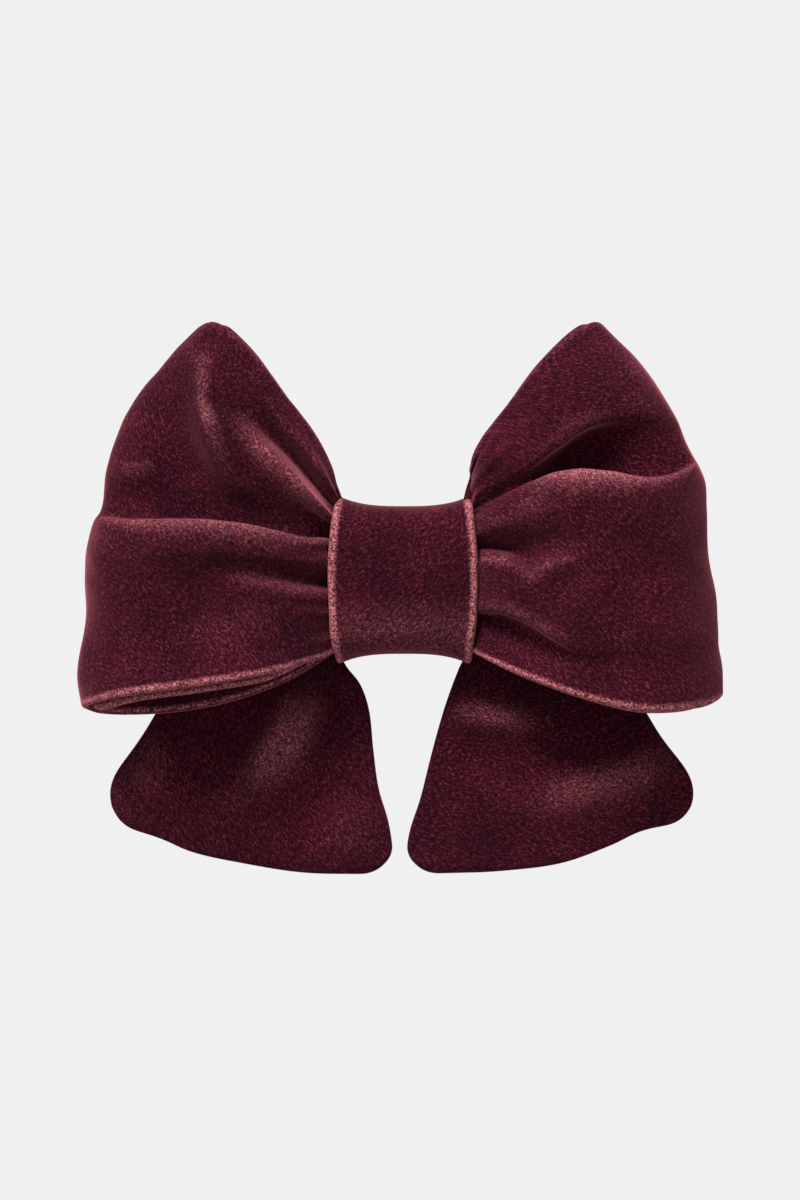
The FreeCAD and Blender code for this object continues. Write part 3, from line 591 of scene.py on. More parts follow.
def feed(node, inputs):
    """Sets a node's inputs, each of them to a value or to another node's output."""
    for key, value in inputs.items():
        if isinstance(value, bpy.types.NodeSocket):
            node.id_data.links.new(value, node.inputs[key])
        else:
            node.inputs[key].default_value = value


def add_node(tree, kind, inputs=None, **settings):
    """A shader node with its settings and inputs."""
    node = tree.nodes.new("ShaderNode" + kind)
    for key, value in settings.items():
        setattr(node, key, value)
    feed(node, inputs or {})
    return node


def new_material(name):
    """A node material, with its tree and its shader."""
    material = bpy.data.materials.new(name)
    material.use_nodes = True
    return material, material.node_tree, material.node_tree.nodes["Principled BSDF"]


def ramp(tree, value, stops):
    """The colour that a value has between the stops, each a position and a colour."""
    node = add_node(tree, "ValToRGB", {"Fac": value})
    elements = node.color_ramp.elements
    while len(elements) > 1:
        elements.remove(elements[0])
    elements[0].position = stops[0][0]
    elements[0].color = (*stops[0][1], 1)
    for position, colour in stops[1:]:
        elements.new(position).color = (*colour, 1)
    return node.outputs["Color"]


def noise(tree, where, scale, detail, roughness=0.5, distortion=0.0):
    """A noise from 0 to 1 at a place, with scale bumps to the metre."""
    node = add_node(tree, "TexNoise", {"Vector": where, "Scale": scale, "Detail": detail,
                                       "Roughness": roughness, "Distortion": distortion})
    return node.outputs["Fac"]


def combine(tree, operation, *values, clamp=False):
    """The result of one sum on up to three numbers."""
    node = add_node(tree, "Math", dict(enumerate(values)), operation=operation, use_clamp=clamp)
    return node.outputs[0]


def stretched(tree, where, scale):
    """A place with each of its coordinates scaled."""
    return add_node(tree, "Mapping", {"Vector": where, "Scale": scale}).outputs["Vector"]


def relief(tree, height, strength, distance):
    """A surface direction that follows a height, as raised as distance in metres."""
    node = add_node(tree, "Bump", {"Height": height, "Strength": strength, "Distance": distance})
    return node.outputs["Normal"]


def object_place(tree):
    """The place of a point in the frame, in metres."""
    return add_node(tree, "TexCoord").outputs["Object"]


def pile_tone(tree, pile):
    """The velvet's own colour, from the dark between the tufts to their tips, in soft clouds."""
    tone = ramp(tree, pile, [(0.39, (0.0062, 0.0006, 0.0018)), (0.50, (0.0172, 0.0014, 0.0041)),
                             (0.57, (0.034, 0.0040, 0.0088)), (0.66, (0.062, 0.0138, 0.0208))])
    cloud = noise(tree, object_place(tree), scale=75.0, detail=4.0, roughness=0.62)
    shade = ramp(tree, cloud, [(0.36, (0.72, 0.70, 0.78)), (0.64, (1.34, 1.28, 1.26))])
    tinted = add_node(tree, "Mix", data_type="RGBA", blend_type="MULTIPLY")
    feed(tinted, {0: 1.0, 6: tone, 7: shade})
    return tinted.outputs[2]


def highlighted_tone(tree, tone, highlight_strength):
    """That colour under a painted highlight: brighter, and towards pale rose where it is strongest.
    """
    highlight_lifted = add_node(tree, "VectorMath", {0: tone}, operation="SCALE")
    feed(highlight_lifted, {"Scale": combine(tree, "MULTIPLY_ADD", highlight_strength, 2.4, 1.0)})
    highlight_rose_share = combine(tree, "POWER", highlight_strength, 1.5)
    light = add_node(tree, "Mix", data_type="RGBA")
    feed(light, {0: highlight_rose_share, 6: highlight_lifted.outputs[0], 7: (0.34, 0.115, 0.125, 1)})
    return light.outputs[2]


def velvet_material():
    """Short cotton pile in rows: dark, with a painted highlight on crests and edges, and the shader's
    sheen.
    """
    material, tree, shader = new_material("burgundy_velvet")
    cloth_at = add_node(tree, "Attribute", attribute_name="cloth_at").outputs["Vector"]
    painted_highlight = add_node(tree, "Attribute", attribute_name="painted_highlight").outputs["Fac"]
    weave = stretched(tree, cloth_at, (STROKE / PILE_ROW, 1 / PILE_ROW, 1 / PILE_ROW))
    strokes = noise(tree, weave, scale=1.0, detail=2.0, roughness=0.62, distortion=0.25)
    fibres = noise(tree, object_place(tree), scale=2600.0, detail=1.0, roughness=0.6)
    mixed = add_node(tree, "Mix", data_type="FLOAT")
    fuzz = combine(tree, "MULTIPLY_ADD", painted_highlight, 0.5, 0.35, clamp=True)
    feed(mixed, {0: fuzz, 2: strokes, 3: fibres})
    pile = mixed.outputs[0]
    ragged = add_node(tree, "MapRange", {"Value": pile, "From Min": 0.3, "From Max": 0.7,
                                         "To Min": 0.0, "To Max": 1.1}).outputs["Result"]
    # painted highlight where the crest and rim values are high, broken up by the pile
    highlight_strength = combine(tree, "MULTIPLY", painted_highlight, ragged, clamp=True)
    feed(shader, {"Base Color": highlighted_tone(tree, pile_tone(tree, pile), highlight_strength),
                  "Normal": relief(tree, pile, 0.45, 0.00025), "Roughness": 0.95,
                  "Specular IOR Level": 0.03, "Sheen Weight": 0.38, "Sheen Roughness": 0.42,
                  "Sheen Tint": (0.82, 0.22, 0.28, 1)})
    return material


def fleece_material():
    """Undyed needle felt."""
    material, tree, shader = new_material("fleece")
    fibres = noise(tree, object_place(tree), scale=900.0, detail=6.0, distortion=1.5)
    colour = ramp(tree, fibres, [(0.3, (0.55, 0.52, 0.47)), (0.7, (0.80, 0.78, 0.73))])
    feed(shader, {"Base Color": colour, "Normal": relief(tree, fibres, 0.6, 0.0002),
                  "Roughness": 0.95, "Sheen Weight": 0.3})
    return material


def thread_material():
    """Twisted polyester thread."""
    material, tree, shader = new_material("thread")
    wave = {"Vector": object_place(tree), "Scale": 900.0, "Distortion": 1.0}
    twist = add_node(tree, "TexWave", wave, bands_direction="DIAGONAL").outputs["Fac"]
    colour = ramp(tree, twist, [(0.1, (0.035, 0.006, 0.012)), (0.9, (0.13, 0.03, 0.05))])
    feed(shader, {"Base Color": colour, "Normal": relief(tree, twist, 0.5, 0.00008),
                  "Roughness": 0.45, "Sheen Weight": 0.3})
    return material


def metal_material(name, tone, roughness, grain):
    """Plated or drawn steel with fine rolling marks, dull specks and worn patches."""
    material, tree, shader = new_material(name)
    where = object_place(tree)
    streaks = noise(tree, stretched(tree, where, grain), scale=1.0, detail=4.0)
    wear = noise(tree, where, scale=220.0, detail=5.0)
    colour = ramp(tree, wear, [(0.35, tuple(0.82 * c for c in tone)), (0.65, tone)])
    dull = add_node(tree, "MapRange", {"Value": streaks, "To Min": 0.7 * roughness,
                                       "To Max": 1.5 * roughness})
    feed(shader, {"Base Color": colour, "Roughness": dull.outputs["Result"],
                  "Normal": relief(tree, streaks, 0.12, 0.00003), "Metallic": 1.0})
    return material


LOOKS = {
    "velvet": velvet_material(),
    "fleece": fleece_material(),
    "thread": thread_material(),
    "clip_steel": metal_material("nickel_plate", (0.66, 0.66, 0.67), 0.22, (300, 300, 4000)),
    "pin_steel": metal_material("pin_steel", (0.55, 0.55, 0.56), 0.3, (3000, 3000, 200)),
    "spring_steel": metal_material("spring_wire", (0.42, 0.42, 0.44), 0.35, (2000, 2000, 2000)),
}


# ---------------------------------------------------------------- loops

LOOP_GRAIN = math.radians(-42)
# How far the lining reaches below the facing along a loop's bottom edge
LIP_DROP = {"left": 1.8 * MM, "right": 0.5 * MM}
SEAM_ROWS = 8  # grid rows over which the layers close towards the top edge, and the fleece's inset
CLOSED = SANDWICH / 2 - 0.03 * MM  # each velvet layer's thickness where the layers are sewn together


def offset(grid, towards, distance):
    """A grid moved towards another one: along its normals, and straight where it is gathered."""
    normal = grid_normals(soften(grid, 6))
    normal *= np.sign(np.sum((towards - grid) * normal))
    way = towards - grid
    length = np.maximum(np.linalg.norm(way, axis=2, keepdims=True), 1e-9)
    straight = way * np.minimum(distance / length, distance / SANDWICH)
    free = smooth_step(np.abs(grid[..., :1]), 14 * MM, 22 * MM)
    return grid + straight * (1 - free) + normal * distance * free


# Painted highlights along ridges of a loop: a line as (across, up) and a width in
# millimetres, and how strong the highlight is, from 0 to 1
HIGHLIGHT_LINES = {
    "left": [([(-32, 31), (-29, 26.6), (-24, 21.8), (-19, 17), (-14, 12.6)], 2.6, 0.5),
             ([(-35, 0.6), (-29, 0.2), (-22, -1.6), (-15, -3)], 2.2, 0.22),
             ([(-26, -6), (-34, -9), (-42, -10)], 4.0, 0.12)],
    "right": [([(15, -5), (21, -6), (27, -9.4), (32, -12.6)], 1.8, 0.3),
              ([(15, 4), (21, 3.6), (25, 1), (29, 3), (34, 4)], 1.8, 0.2)],
}


def nearness_to_top(grid):
    """From 0 inside a loop to 1 at its top edge, where the layers are sewn together."""
    rows_below = np.arange(len(grid))[::-1, None, None]
    return 1 - smooth_step(rows_below, 0, SEAM_ROWS)


def make_loop(name):
    """The three layers of a loop, settled as one cloth."""
    outer = shape_loop(name)
    reach = np.abs(outer[..., 0])
    hold = 0.3 + 0.65 * np.clip(fold_strength(outer) / (0.6 * MM), 0, 1)
    hold = np.maximum(hold, 1 - smooth_step(reach, 15 * MM, 21 * MM))
    hold[0], hold[-1] = 0.9, 0.9
    outer = settle(f"{name}_loop_cloth", outer, hold)
    inner = inner_grid(outer, SIDES[name], LIP_DROP[name])
    layer = LIP + (CLOSED - LIP) * nearness_to_top(outer)
    # painted highlights along the bottom edge, faintly along the top edge, and on the ridges listed
    # above
    facing = cloth_layer(f"{name}_loop_velvet", outer, offset(outer, inner, layer),
                         rim_highlights=(0.9, 0.15, 0, 0), grain=LOOP_GRAIN,
                         highlight_patches=ridges(outer, HIGHLIGHT_LINES[name]) / MM)
    fleece_bottom = offset(inner, outer, VELVET + LAYER_GAP)
    fleece_top = offset(inner, outer, VELVET + LAYER_GAP + FLEECE)
    covered = np.s_[SEAM_ROWS:-SEAM_ROWS:2, ::2]
    fleece = cloth_layer(f"{name}_loop_fleece", fleece_top[covered], fleece_bottom[covered])
    # painted highlights along the lining's bottom edge and faintly along its top edge
    lining = cloth_layer(f"{name}_loop_inside", offset(inner, outer, layer), inner,
                         rim_highlights=(1.0, 0.2, 0, 0), grain=LOOP_GRAIN)
    place(facing, f"{name}_loop_facing", "velvet")
    place(fleece, f"{name}_loop_interlining", "fleece")
    place(lining, f"{name}_loop_lining", "velvet")


# ---------------------------------------------------------------- tails

# Rails of a tail, from its inner edge to its outer edge, each from inside the knot down to the
# bottom edge, as (across, up) in millimetres
TAIL_RAILS = {
    "left": [
        [(8, -11.5), (13.4, -13.4), (12.2, -17.4), (9.4, -21), (7.6, -26), (6.7, -34), (5.6, -42),
         (3.6, -49), (2.2, -58.6)],
        [(8, -8.5), (15.4, -12), (15.8, -18), (13.6, -25), (12, -36), (10.5, -48), (8.6, -58.4)],
        [(8, -4.5), (18, -9), (20.6, -17), (20.6, -28), (20.6, -42), (20.6, -58)],
        [(8, 0), (20, -5), (25.4, -14), (28, -27), (30.4, -42), (32.4, -56.1)],
        [(8, 4.5), (21, 0), (29.6, -10), (35.4, -23), (39.8, -38), (42.6, -53.8)],
        [(8, 8.5), (22, 4.5), (33.4, -7), (41.4, -20), (47, -35), (50.4, -50.6)],
        [(8, 11.5), (22, 9), (35.6, -4.5), (45.4, -20), (52, -31.4), (57, -38.4), (59, -41.8),
         (61.5, -47.5)],
    ],
    "right": [
        [(8, -11.5), (13.4, -13.4), (11.8, -17.4), (10.0, -22), (8.0, -28), (5.8, -36), (3.8, -44),
         (1.6, -51), (0.6, -58.8)],
        [(8, -8.5), (15.4, -12), (15.6, -18), (13.6, -26), (11.4, -38), (9, -49), (7, -58.3)],
        [(8, -4.5), (18, -9), (20.4, -17), (20.2, -28), (19.8, -42), (19.4, -57.8)],
        [(8, 0), (20, -5), (25, -14), (27.2, -27), (29.4, -42), (31.4, -56.2)],
        [(8, 4.5), (21, 0), (29, -10), (34.2, -23), (38.6, -38), (41.4, -52.6)],
        [(8, 8.5), (22, 4.5), (32.8, -7), (40.2, -20), (46, -35), (49.4, -49.2)],
        [(8, 11.5), (22, 9), (35, -4.5), (44.4, -20), (51, -31.6), (55.6, -37.6), (58, -41.6),
         (60.6, -47.6)],
    ],
}
TAIL_DEPTH = 5.05  # jaws' plane forward to the middle of a tail, in millimetres
TAIL_CORNERS = (7.0, 8.5)  # radius of a tail's inner and outer bottom corners, in millimetres
TAIL_GRAIN = math.radians(50)
TAIL_LAYER = 0.41  # each velvet layer's share of a tail's thickness
TAIL_SEAM_LAYER = 0.495  # and its share at the edges, where the layers are sewn together
TAIL_FLEECE = (0.43, 0.57)  # where the fleece lies between a tail's front and back
TAIL_SEAM_ROWS = 4  # grid rows over which the layers close towards a tail's edges


def round_corners(grid, radii):
    """Draws the last column's two corners of a grid in, from square to round."""
    rows, columns = grid.shape[:2]
    row_length = chord(grid[:, -1])
    column_length = chord(grid[rows // 2])
    row_at, column_at = row_length.copy(), column_length[-1] - column_length
    wanted_row = np.repeat(row_at[:, None], columns, axis=1)
    wanted_column = np.repeat(column_at[None], rows, axis=0)
    for end, radius in enumerate(radii):
        near = row_at if end == 0 else row_length[-1] - row_at
        a = np.clip(1 - near / radius, 0, 1)[:, None]
        b = np.clip(1 - column_at / radius, 0, 1)[None]
        moved_a, moved_b = a * np.sqrt(1 - b**2 / 2), b * np.sqrt(1 - a**2 / 2)
        inside = (a > 0) & (b > 0)
        new_row = radius * (1 - moved_a)
        new_row = new_row if end == 0 else row_length[-1] - new_row
        wanted_row = np.where(inside, new_row, wanted_row)
        wanted_column = np.where(inside, radius * (1 - moved_b), wanted_column)
    row_index = np.interp(wanted_row, row_at, np.arange(rows))
    column_index = np.interp(column_length[-1] - wanted_column, column_length, np.arange(columns))
    return read_grid(grid, row_index, column_index)


def read_grid(grid, row_index, column_index):
    """Reads a grid between its points."""
    row = np.clip(row_index.astype(int), 0, grid.shape[0] - 2)
    column = np.clip(column_index.astype(int), 0, grid.shape[1] - 2)
    s, t = (row_index - row)[..., None], (column_index - column)[..., None]
    return ((1 - s) * (1 - t) * grid[row, column] + s * (1 - t) * grid[row + 1, column]
            + (1 - s) * t * grid[row, column + 1] + s * t * grid[row + 1, column + 1])


# The waves of a tail: a line as (across, up), a width and a height forward, in millimetres
TAIL_WAVES = {
    "left": [([(-17, -14), (-21, -24), (-24, -32), (-32, -42)], 6.0, 2.6),
             ([(-28, -20), (-36, -30), (-42, -36)], 6.0, -1.6),
             ([(-46, -32), (-54, -42)], 6.0, 1.4),
             ([(-8, -44), (-14, -56)], 6.0, 0.9)],
    "right": [([(8, -24), (18, -27), (28, -28)], 4.6, 2.2),
              ([(10, -34), (24, -35)], 5.0, -1.2),
              ([(26, -45), (38, -41), (54, -36)], 5.4, 2.0),
              ([(32, -33), (46, -27)], 5.0, -1.4),
              ([(14, -52), (30, -53)], 5.0, -0.9)],
}


def tail_grids(name, across=90, down=110):
    """The front and back of a tail, and a painted highlight on the forward waves of its lower part.
    """
    side = SIDES[name]
    rows = [along([(x, z, TAIL_DEPTH) for x, z in rail], down) for rail in TAIL_RAILS[name]]
    grid, _ = surface_through(rows, across)
    middle = in_frame(soften(round_corners(soften(grid, 3), TAIL_CORNERS), 2), side)
    low = smooth_step(-middle[..., 2], 16 * MM, 30 * MM)
    wave = ridges(middle, TAIL_WAVES[name])
    # painted highlight on the forward waves of the tail's lower part
    highlight_patches = 0.5 * np.clip(wave / (2.2 * MM), 0, 1) ** 1.5 * low
    wave += 0.45 * MM * wave_noise(middle, 22 * MM, 20 + side)
    middle[..., 1] -= (wave + 0.8 * MM) * low

    rows_at = np.linspace(0, 1, across)[:, None]
    down_at = np.linspace(0, 1, down)[None, :]
    edge = np.minimum(np.minimum(rows_at, 1 - rows_at) * 40 * MM, (1 - down_at) * 55 * MM)
    full = 0.8 * MM * np.sqrt(np.clip(edge / (4 * MM), 0, 1)) + 1.05 * MM
    ripple = 0.10 * MM * wave_noise(middle, 6 * MM, 30 + side)
    forward = np.array([0, -1.0, 0])
    hold = 0.35 + 0.65 * (1 - smooth_step(-middle[..., 2], 14 * MM, 24 * MM))
    hold[0], hold[-1], hold[:, -1] = 0.9, 0.9, 0.9
    middle = settle(f"{name}_tail_cloth", middle, hold)
    front = middle + forward * (full + ripple)[..., None]
    back = middle - forward * (full - ripple)[..., None]
    return front, back, highlight_patches


def make_tail(name):
    """The three layers of a tail, closed along its edges."""
    front, back, highlight_patches = tail_grids(name)
    rows, columns = front.shape[:2]
    from_edge = np.minimum(np.minimum(np.arange(rows), np.arange(rows)[::-1])[:, None],
                           np.arange(columns)[None, ::-1])
    at_seam = (1 - smooth_step(from_edge, 0, TAIL_SEAM_ROWS))[..., None]
    layer = TAIL_LAYER + (TAIL_SEAM_LAYER - TAIL_LAYER) * at_seam
    front_velvet = cloth_layer(f"{name}_tail_front_velvet", front, between(front, back, layer),
                               grain=TAIL_GRAIN, highlight_patches=highlight_patches)
    covered = np.s_[TAIL_SEAM_ROWS:-TAIL_SEAM_ROWS:2, :-6:2]
    fleece_front, fleece_back = (between(front, back, share)[covered] for share in TAIL_FLEECE)
    fleece = cloth_layer(f"{name}_tail_fleece", fleece_front, fleece_back)
    back_velvet = cloth_layer(f"{name}_tail_back_velvet", between(front, back, 1 - layer), back,
                              grain=TAIL_GRAIN)
    place(front_velvet, f"{name}_tail_front", "velvet")
    place(fleece, f"{name}_tail_interlining", "fleece")
    place(back_velvet, f"{name}_tail_back", "velvet")


# ---------------------------------------------------------------- knot

SEAM_ANGLE = math.radians(-156)  # where the band's ends meet, from straight forward
KNOT_THICKNESS = 1.7 * MM
KNOT_GRAIN = math.radians(38)


def knot_grid(below, around=170, across=80):
    """The band round the waist, at a distance below its outer face; its seam is at the back."""
    low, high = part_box("knot_wrap")
    centre = -(low.y + high.y) / 2
    half_depth, half_width = (high.y - low.y) / 2, (high.x - low.x) / 2
    turns = np.linspace(0, 1, around)[:, None]
    angle = SEAM_ANGLE + turns * 2 * math.pi
    over = np.linspace(-1, 1, across)[None, :]
    flare = 1.9 * MM * np.abs(over) ** 3
    half = half_depth - 0.1 * MM - below
    roundness = 2 / 3.6
    c, s = np.cos(angle), np.sin(angle)
    forward = centre + half * np.sign(c) * np.abs(c) ** roundness
    up = (high.z - 0.2 * MM + flare - below) * np.sign(s) * np.abs(s) ** roundness
    front = smooth_step(c, 0.2, 0.9)
    forward = forward + front * (0.5 * MM * (1 - over**2) + 0.5 * MM * np.abs(over) ** 8)
    forward = forward + 0.7 * MM * (1 - smooth_step(turns, 0.0, 0.1))
    waisted = half_width - 0.9 * MM + 1.3 * MM * (1 - (up / high.z) ** 2) * smooth_step(c, -0.2, 0.6)
    across_at = waisted * over - 0.25 * MM * front
    grid = np.stack(np.broadcast_arrays(across_at, -forward, up), axis=2)
    grid[..., 1] -= 0.22 * MM * wave_noise(grid, 10 * MM, 41) * front
    grid[..., 0] += 0.12 * MM * wave_noise(grid, 4 * MM, 43) * np.abs(over) ** 6
    return grid


def make_knot():
    """The velvet band, with painted highlights along both sides and low on its face."""
    outer = knot_grid(0)
    # painted highlight, lighter low on the band's front face; its sides get painted rim highlights
    low = smooth_step(-outer[..., 2], 1 * MM, 11 * MM)
    faces_front = smooth_step(-outer[..., 1], 14 * MM, 17 * MM)
    wrap = cloth_layer("knot_velvet", outer, knot_grid(KNOT_THICKNESS), rim_highlights=(0, 0, 1.0, 1.0),
                       grain=KNOT_GRAIN, highlight_patches=0.28 * low * faces_front)
    place(wrap, "knot_wrap", "velvet")


def make_knot_pad(rows=40, columns=40):
    """A crowned felt pad, pulled in a little between its corners."""
    low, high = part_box("knot_padding")
    middle, half = (low + high) / 2, (high - low) / 2
    u, v = np.meshgrid(np.linspace(-1, 1, rows), np.linspace(-1, 1, columns), indexing="ij")
    x = middle.x + half.x * u * (0.97 - 0.03 * (1 - v**2))
    z = middle.z + half.z * v * (0.97 - 0.03 * (1 - u**2))
    crown = half.y * (0.35 + 0.6 * (1 - u**4) * (1 - v**4))
    front = np.stack([x, middle.y - crown, z], axis=2)
    back = np.stack([x, middle.y + 0.7 * crown, z], axis=2)
    pad = cloth_layer("knot_pad", front, back)
    place(pad, "knot_padding", "fleece")


# ---------------------------------------------------------------- threads and spring

def carried_along(path):
    """The directions forward, across and beside a path, which turn with it as little as they can."""
    run = np.gradient(path, axis=0)
    run /= np.linalg.norm(run, axis=1, keepdims=True)
    across = np.cross(run[0], [0.31, 0.52, 0.79])
    frames = []
    for forward in run:
        across = across - forward * (across @ forward)
        across /= np.linalg.norm(across)
        frames.append((across, np.cross(forward, across)))
    one, other = (np.array(part) for part in zip(*frames))
    return run, one, other


def sweep(path, radius, sides):
    """The points and faces of a round bar along a path, its ends domed."""
    path = np.asarray(path, float)
    run, one, other = carried_along(path)
    turns = np.linspace(0, 2 * math.pi, sides, endpoint=False)[None, :, None]
    rings = path[:, None] + radius * (np.cos(turns) * one[:, None] + np.sin(turns) * other[:, None])
    ends = [path[0] - 0.5 * radius * run[0], path[-1] + 0.5 * radius * run[-1]]
    points = np.concatenate([rings.reshape(-1, 3), ends])
    count = len(path)
    last = (count - 1) * sides
    faces = []
    for k in range(sides):
        following = (k + 1) % sides
        for row in range(count - 1):
            faces.append([row * sides + k, row * sides + following,
                          (row + 1) * sides + following, (row + 1) * sides + k])
        faces.append([count * sides, following, k])
        faces.append([count * sides + 1, last + k, last + following])
    return points, faces


def twisted(path, radius, plies=3):
    """Thread of a few plies laid round each other along a path."""
    path = np.asarray(path, float)
    length = chord(path)
    even = np.linspace(0, length[-1], max(8, int(length[-1] / (0.22 * MM))))
    path = np.stack([np.interp(even, length, path[:, k]) for k in range(3)], axis=1)
    _, one, other = carried_along(path)
    strands = []
    for ply in range(plies):
        turn = (2 * math.pi * (even / (5 * radius) + ply / plies))[:, None]
        strands.append(sweep(path + 0.5 * radius * (np.cos(turn) * one + np.sin(turn) * other),
                             0.52 * radius, 7))
    return strands


def joined(name, parts):
    """One piece from parts, each of them points and faces."""
    points, faces, start = [], [], 0
    for part_points, part_faces in parts:
        points.append(part_points)
        faces += [[start + corner for corner in face] for face in part_faces]
        start += len(part_points)
    return new_piece(name, np.concatenate(points), faces)


def rounded(corners, radius=0.25 * MM):
    """A path through corners, each of them cut by a small curve."""
    corners = np.asarray(corners, float)
    path = [corners[0]]
    for before, corner, after in zip(corners, corners[1:], corners[2:]):
        arrive, leave = before - corner, after - corner
        reach = min(radius, 0.45 * np.linalg.norm(arrive), 0.45 * np.linalg.norm(leave))
        start = corner + arrive / np.linalg.norm(arrive) * reach
        finish = corner + leave / np.linalg.norm(leave) * reach
        for t in np.linspace(0, 1, 6):
            path.append((1 - t) ** 2 * start + 2 * t * (1 - t) * corner + t**2 * finish)
    return path + [corners[-1]]


def make_waist_thread(radius=0.25 * MM, turns=6):
    """Thread wound side by side round the gathered waist."""
    low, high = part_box("waist_thread")
    middle, half = (low + high) / 2, (high - low) / 2
    angle = np.linspace(0, turns * 2 * math.pi, turns * 60)
    c, s = np.cos(angle), np.sin(angle)
    squareness = 2 / 8
    path = np.stack([middle.x + (half.x - radius) * (angle / angle[-1] * 2 - 1),
                     middle.y + (half.y - radius) * np.sign(c) * np.abs(c) ** squareness,
                     middle.z + (half.z - radius) * np.sign(s) * np.abs(s) ** squareness], axis=1)
    place(joined("waist_binding", twisted(path, radius)), "waist_thread", "thread")


def make_closing_stitches(radius=0.2 * MM, count=7, lean=0.4 * MM, sunk=0.5 * MM):
    """Slanting hand stitches over the seam at the back of the band."""
    low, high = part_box("knot_closing_stitches")
    parts = []
    foot, top = low.y - sunk, high.y - radius
    for x in np.linspace(low.x + lean + radius, high.x - lean - radius, count):
        corners = [(x - lean, foot, low.z + radius), (x - lean, top, low.z + radius),
                   (x + lean, top, high.z - radius), (x + lean, foot, high.z - radius)]
        parts += twisted(rounded(corners, 2 * radius), radius)
    place(joined("knot_seam_stitches", parts), "knot_closing_stitches", "thread")


def make_clip_stitches(radius=0.2 * MM):
    """Stitches from the clip's holes over both edges of its sewn arm."""
    low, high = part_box("clip_stitches")
    parts = []
    for hole in (-1, 1):
        for up in (-1, 1):
            x = hole * (high.x - 0.45 * MM) + up * 0.25 * MM
            corners = [(x, low.y, up * radius), (x, high.y - radius, up * radius),
                       (x, high.y - radius, up * (high.z - radius)),
                       (x, low.y - 0.4 * MM, up * (high.z - radius))]
            parts += twisted(rounded(corners), radius)
    place(joined("clip_sewing", parts), "clip_stitches", "thread")


COIL_GAP = 0.12 * MM


def make_spring(wire=0.25 * MM, coil=1.55 * MM, leg=7 * MM, coils=5):
    """Close coils round the pin, one leg along the sewn arm and one under the lever."""
    low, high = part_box("hinge_pin")
    hinge = np.array((low + high) / 2)
    low_lean, high_lean = math.radians(6), math.radians(5)
    swept = 2 * math.pi * coils + math.pi - low_lean - high_lean
    turn = np.linspace(0, swept, 330)
    at = -math.pi / 2 - low_lean - turn
    tall = (2 * wire + COIL_GAP) * swept / (2 * math.pi)
    path = np.stack([coil * np.cos(at), coil * np.sin(at), tall * (0.5 - turn / swept)], axis=1)
    first = (path[0] - path[1]) / np.linalg.norm(path[0] - path[1])
    last = (path[-1] - path[-2]) / np.linalg.norm(path[-1] - path[-2])
    steps = np.linspace(0, leg, 24)[1:, None]
    path = np.concatenate([(path[0] + first * steps)[::-1], path, path[-1] + last * steps])
    spring = joined("coil_spring", [sweep(hinge + path, wire, 12)])
    spring.data.materials.append(LOOKS["spring_steel"])
    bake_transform(spring)
    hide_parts("torsion_spring")


# ---------------------------------------------------------------- stage

VIEW_HEIGHT = 0.24  # how much the camera sees from top to bottom, in metres
VIEW_PLANE = 13 * MM  # how far in front of the jaws' plane it sees that much
VIEW_CENTRE = (-0.8 * MM, -4 * MM)  # across and up


def aim(item, target):
    """Turns a light or camera towards a place."""
    item.rotation_euler = (Vector(target) - item.location).to_track_quat("-Z", "Y").to_euler()


def add_light(name, where, width, power):
    """A square soft light that points at the middle of the bow."""
    light = bpy.data.lights.new(name, "AREA")
    light.size = width
    light.energy = power
    item = bpy.data.objects.new(name, light)
    item.location = where
    bpy.context.scene.collection.objects.link(item)
    aim(item, (0, 0, 0))


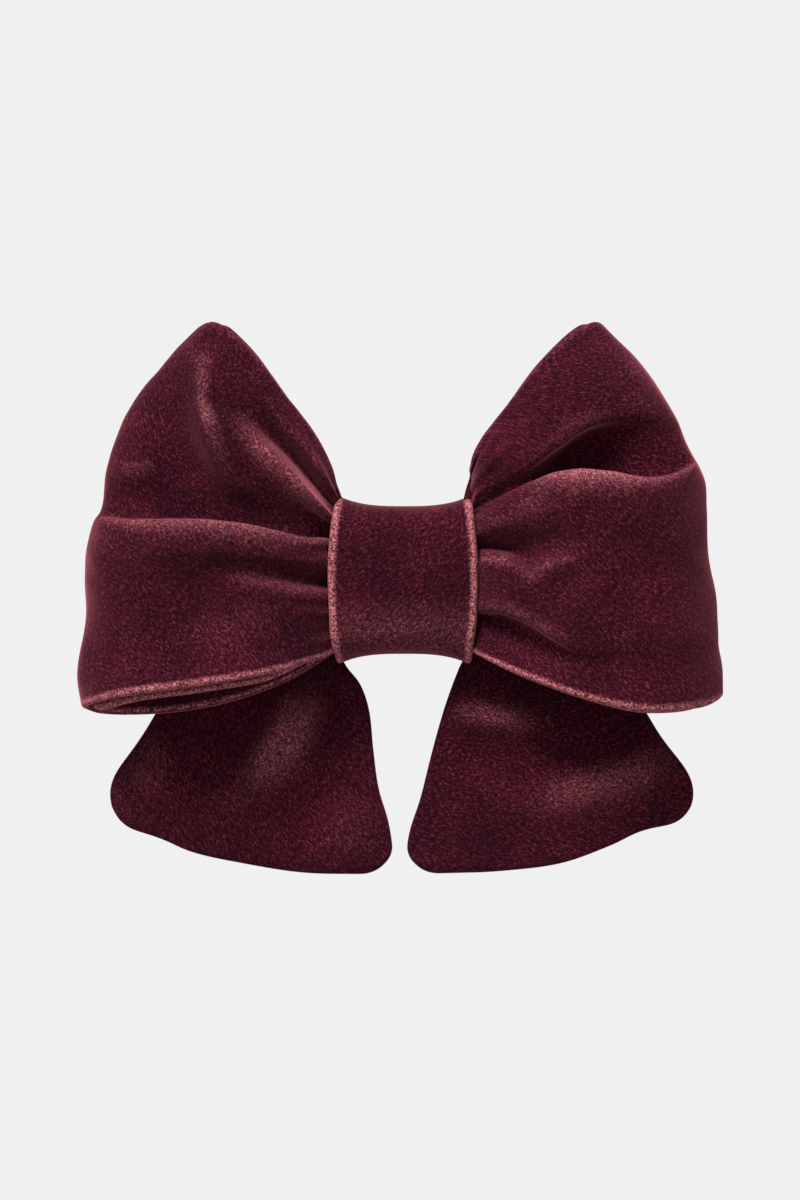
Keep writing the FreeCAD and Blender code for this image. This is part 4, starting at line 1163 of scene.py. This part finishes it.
def studio_world():
    """A pale surround, and soft light that comes mostly from overhead."""
    world = bpy.data.worlds.new("studio")
    world.use_nodes = True
    tree = world.node_tree
    tree.nodes.clear()
    towards = add_node(tree, "TexCoord").outputs["Generated"]
    parts = add_node(tree, "SeparateXYZ", {"Vector": towards})
    height = add_node(tree, "MapRange", {"Value": parts.outputs["Z"], "From Min": -1.0})
    level = ramp(tree, height.outputs["Result"],
                 [(0.0, (0.06, 0.06, 0.06)), (0.48, (0.22, 0.22, 0.22)),
                  (0.75, (0.9, 0.9, 0.9)), (1.0, (1.0, 1.0, 1.0))])
    light = add_node(tree, "Background", {"Color": level, "Strength": 1.3})
    surround = add_node(tree, "Background", {"Color": (0.872, 0.872, 0.872, 1), "Strength": 1.0})
    seen = add_node(tree, "LightPath").outputs["Is Camera Ray"]
    both = add_node(tree, "MixShader", {0: seen, 1: light.outputs[0], 2: surround.outputs[0]})
    add_node(tree, "OutputWorld", {"Surface": both.outputs[0]})
    return world


def make_floor(reach=2.2, down=-0.36):
    """A pale floor some way below the bow."""
    mesh = bpy.data.meshes.new("floor")
    corners = [(-reach, -reach, down), (reach, -reach, down), (reach, reach, down),
               (-reach, reach, down)]
    mesh.from_pydata(corners, [], [(0, 1, 2, 3)])
    floor = bpy.data.objects.new("floor", mesh)
    bpy.context.scene.collection.objects.link(floor)
    material, _, shader = new_material("pale_floor")
    feed(shader, {"Base Color": (0.32, 0.32, 0.32, 1), "Roughness": 0.9})
    mesh.materials.append(material)


def make_camera(lens=180, sensor=36):
    """A long lens straight in front of the bow, far enough away for the view's height."""
    camera = bpy.data.cameras.new("camera")
    camera.lens = lens
    camera.sensor_width = sensor
    item = bpy.data.objects.new("camera", camera)
    bpy.context.scene.collection.objects.link(item)
    away = VIEW_HEIGHT * lens / sensor + VIEW_PLANE
    item.location = (VIEW_CENTRE[0], -away, VIEW_CENTRE[1])
    aim(item, (VIEW_CENTRE[0], 0, VIEW_CENTRE[1]))
    bpy.context.scene.camera = item


def make_stage():
    """The surround, the floor, the lights and the camera."""
    scene = bpy.context.scene
    scene.world = studio_world()
    scene.view_settings.view_transform = "Standard"
    make_floor()
    add_light("key", (-0.85, -1.45, 2.25), 0.95, 185.0)
    add_light("front", (-0.4, -1.1, 0.1), 0.6, 1.2)
    make_camera()


# ---------------------------------------------------------------- the object

for side_name in SIDES:
    make_loop(side_name)
    make_tail(side_name)
make_knot()
make_knot_pad()
make_waist_thread()
make_closing_stitches()
make_clip_stitches()
make_spring()
make_stage()
for node_name, slot_name in (("clip_fixed_arm", "clip_steel"), ("clip_jaw", "clip_steel"),
                             ("hinge_pin", "pin_steel")):
    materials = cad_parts[node_name].data.materials
    materials.clear()
    materials.append(LOOKS[slot_name])
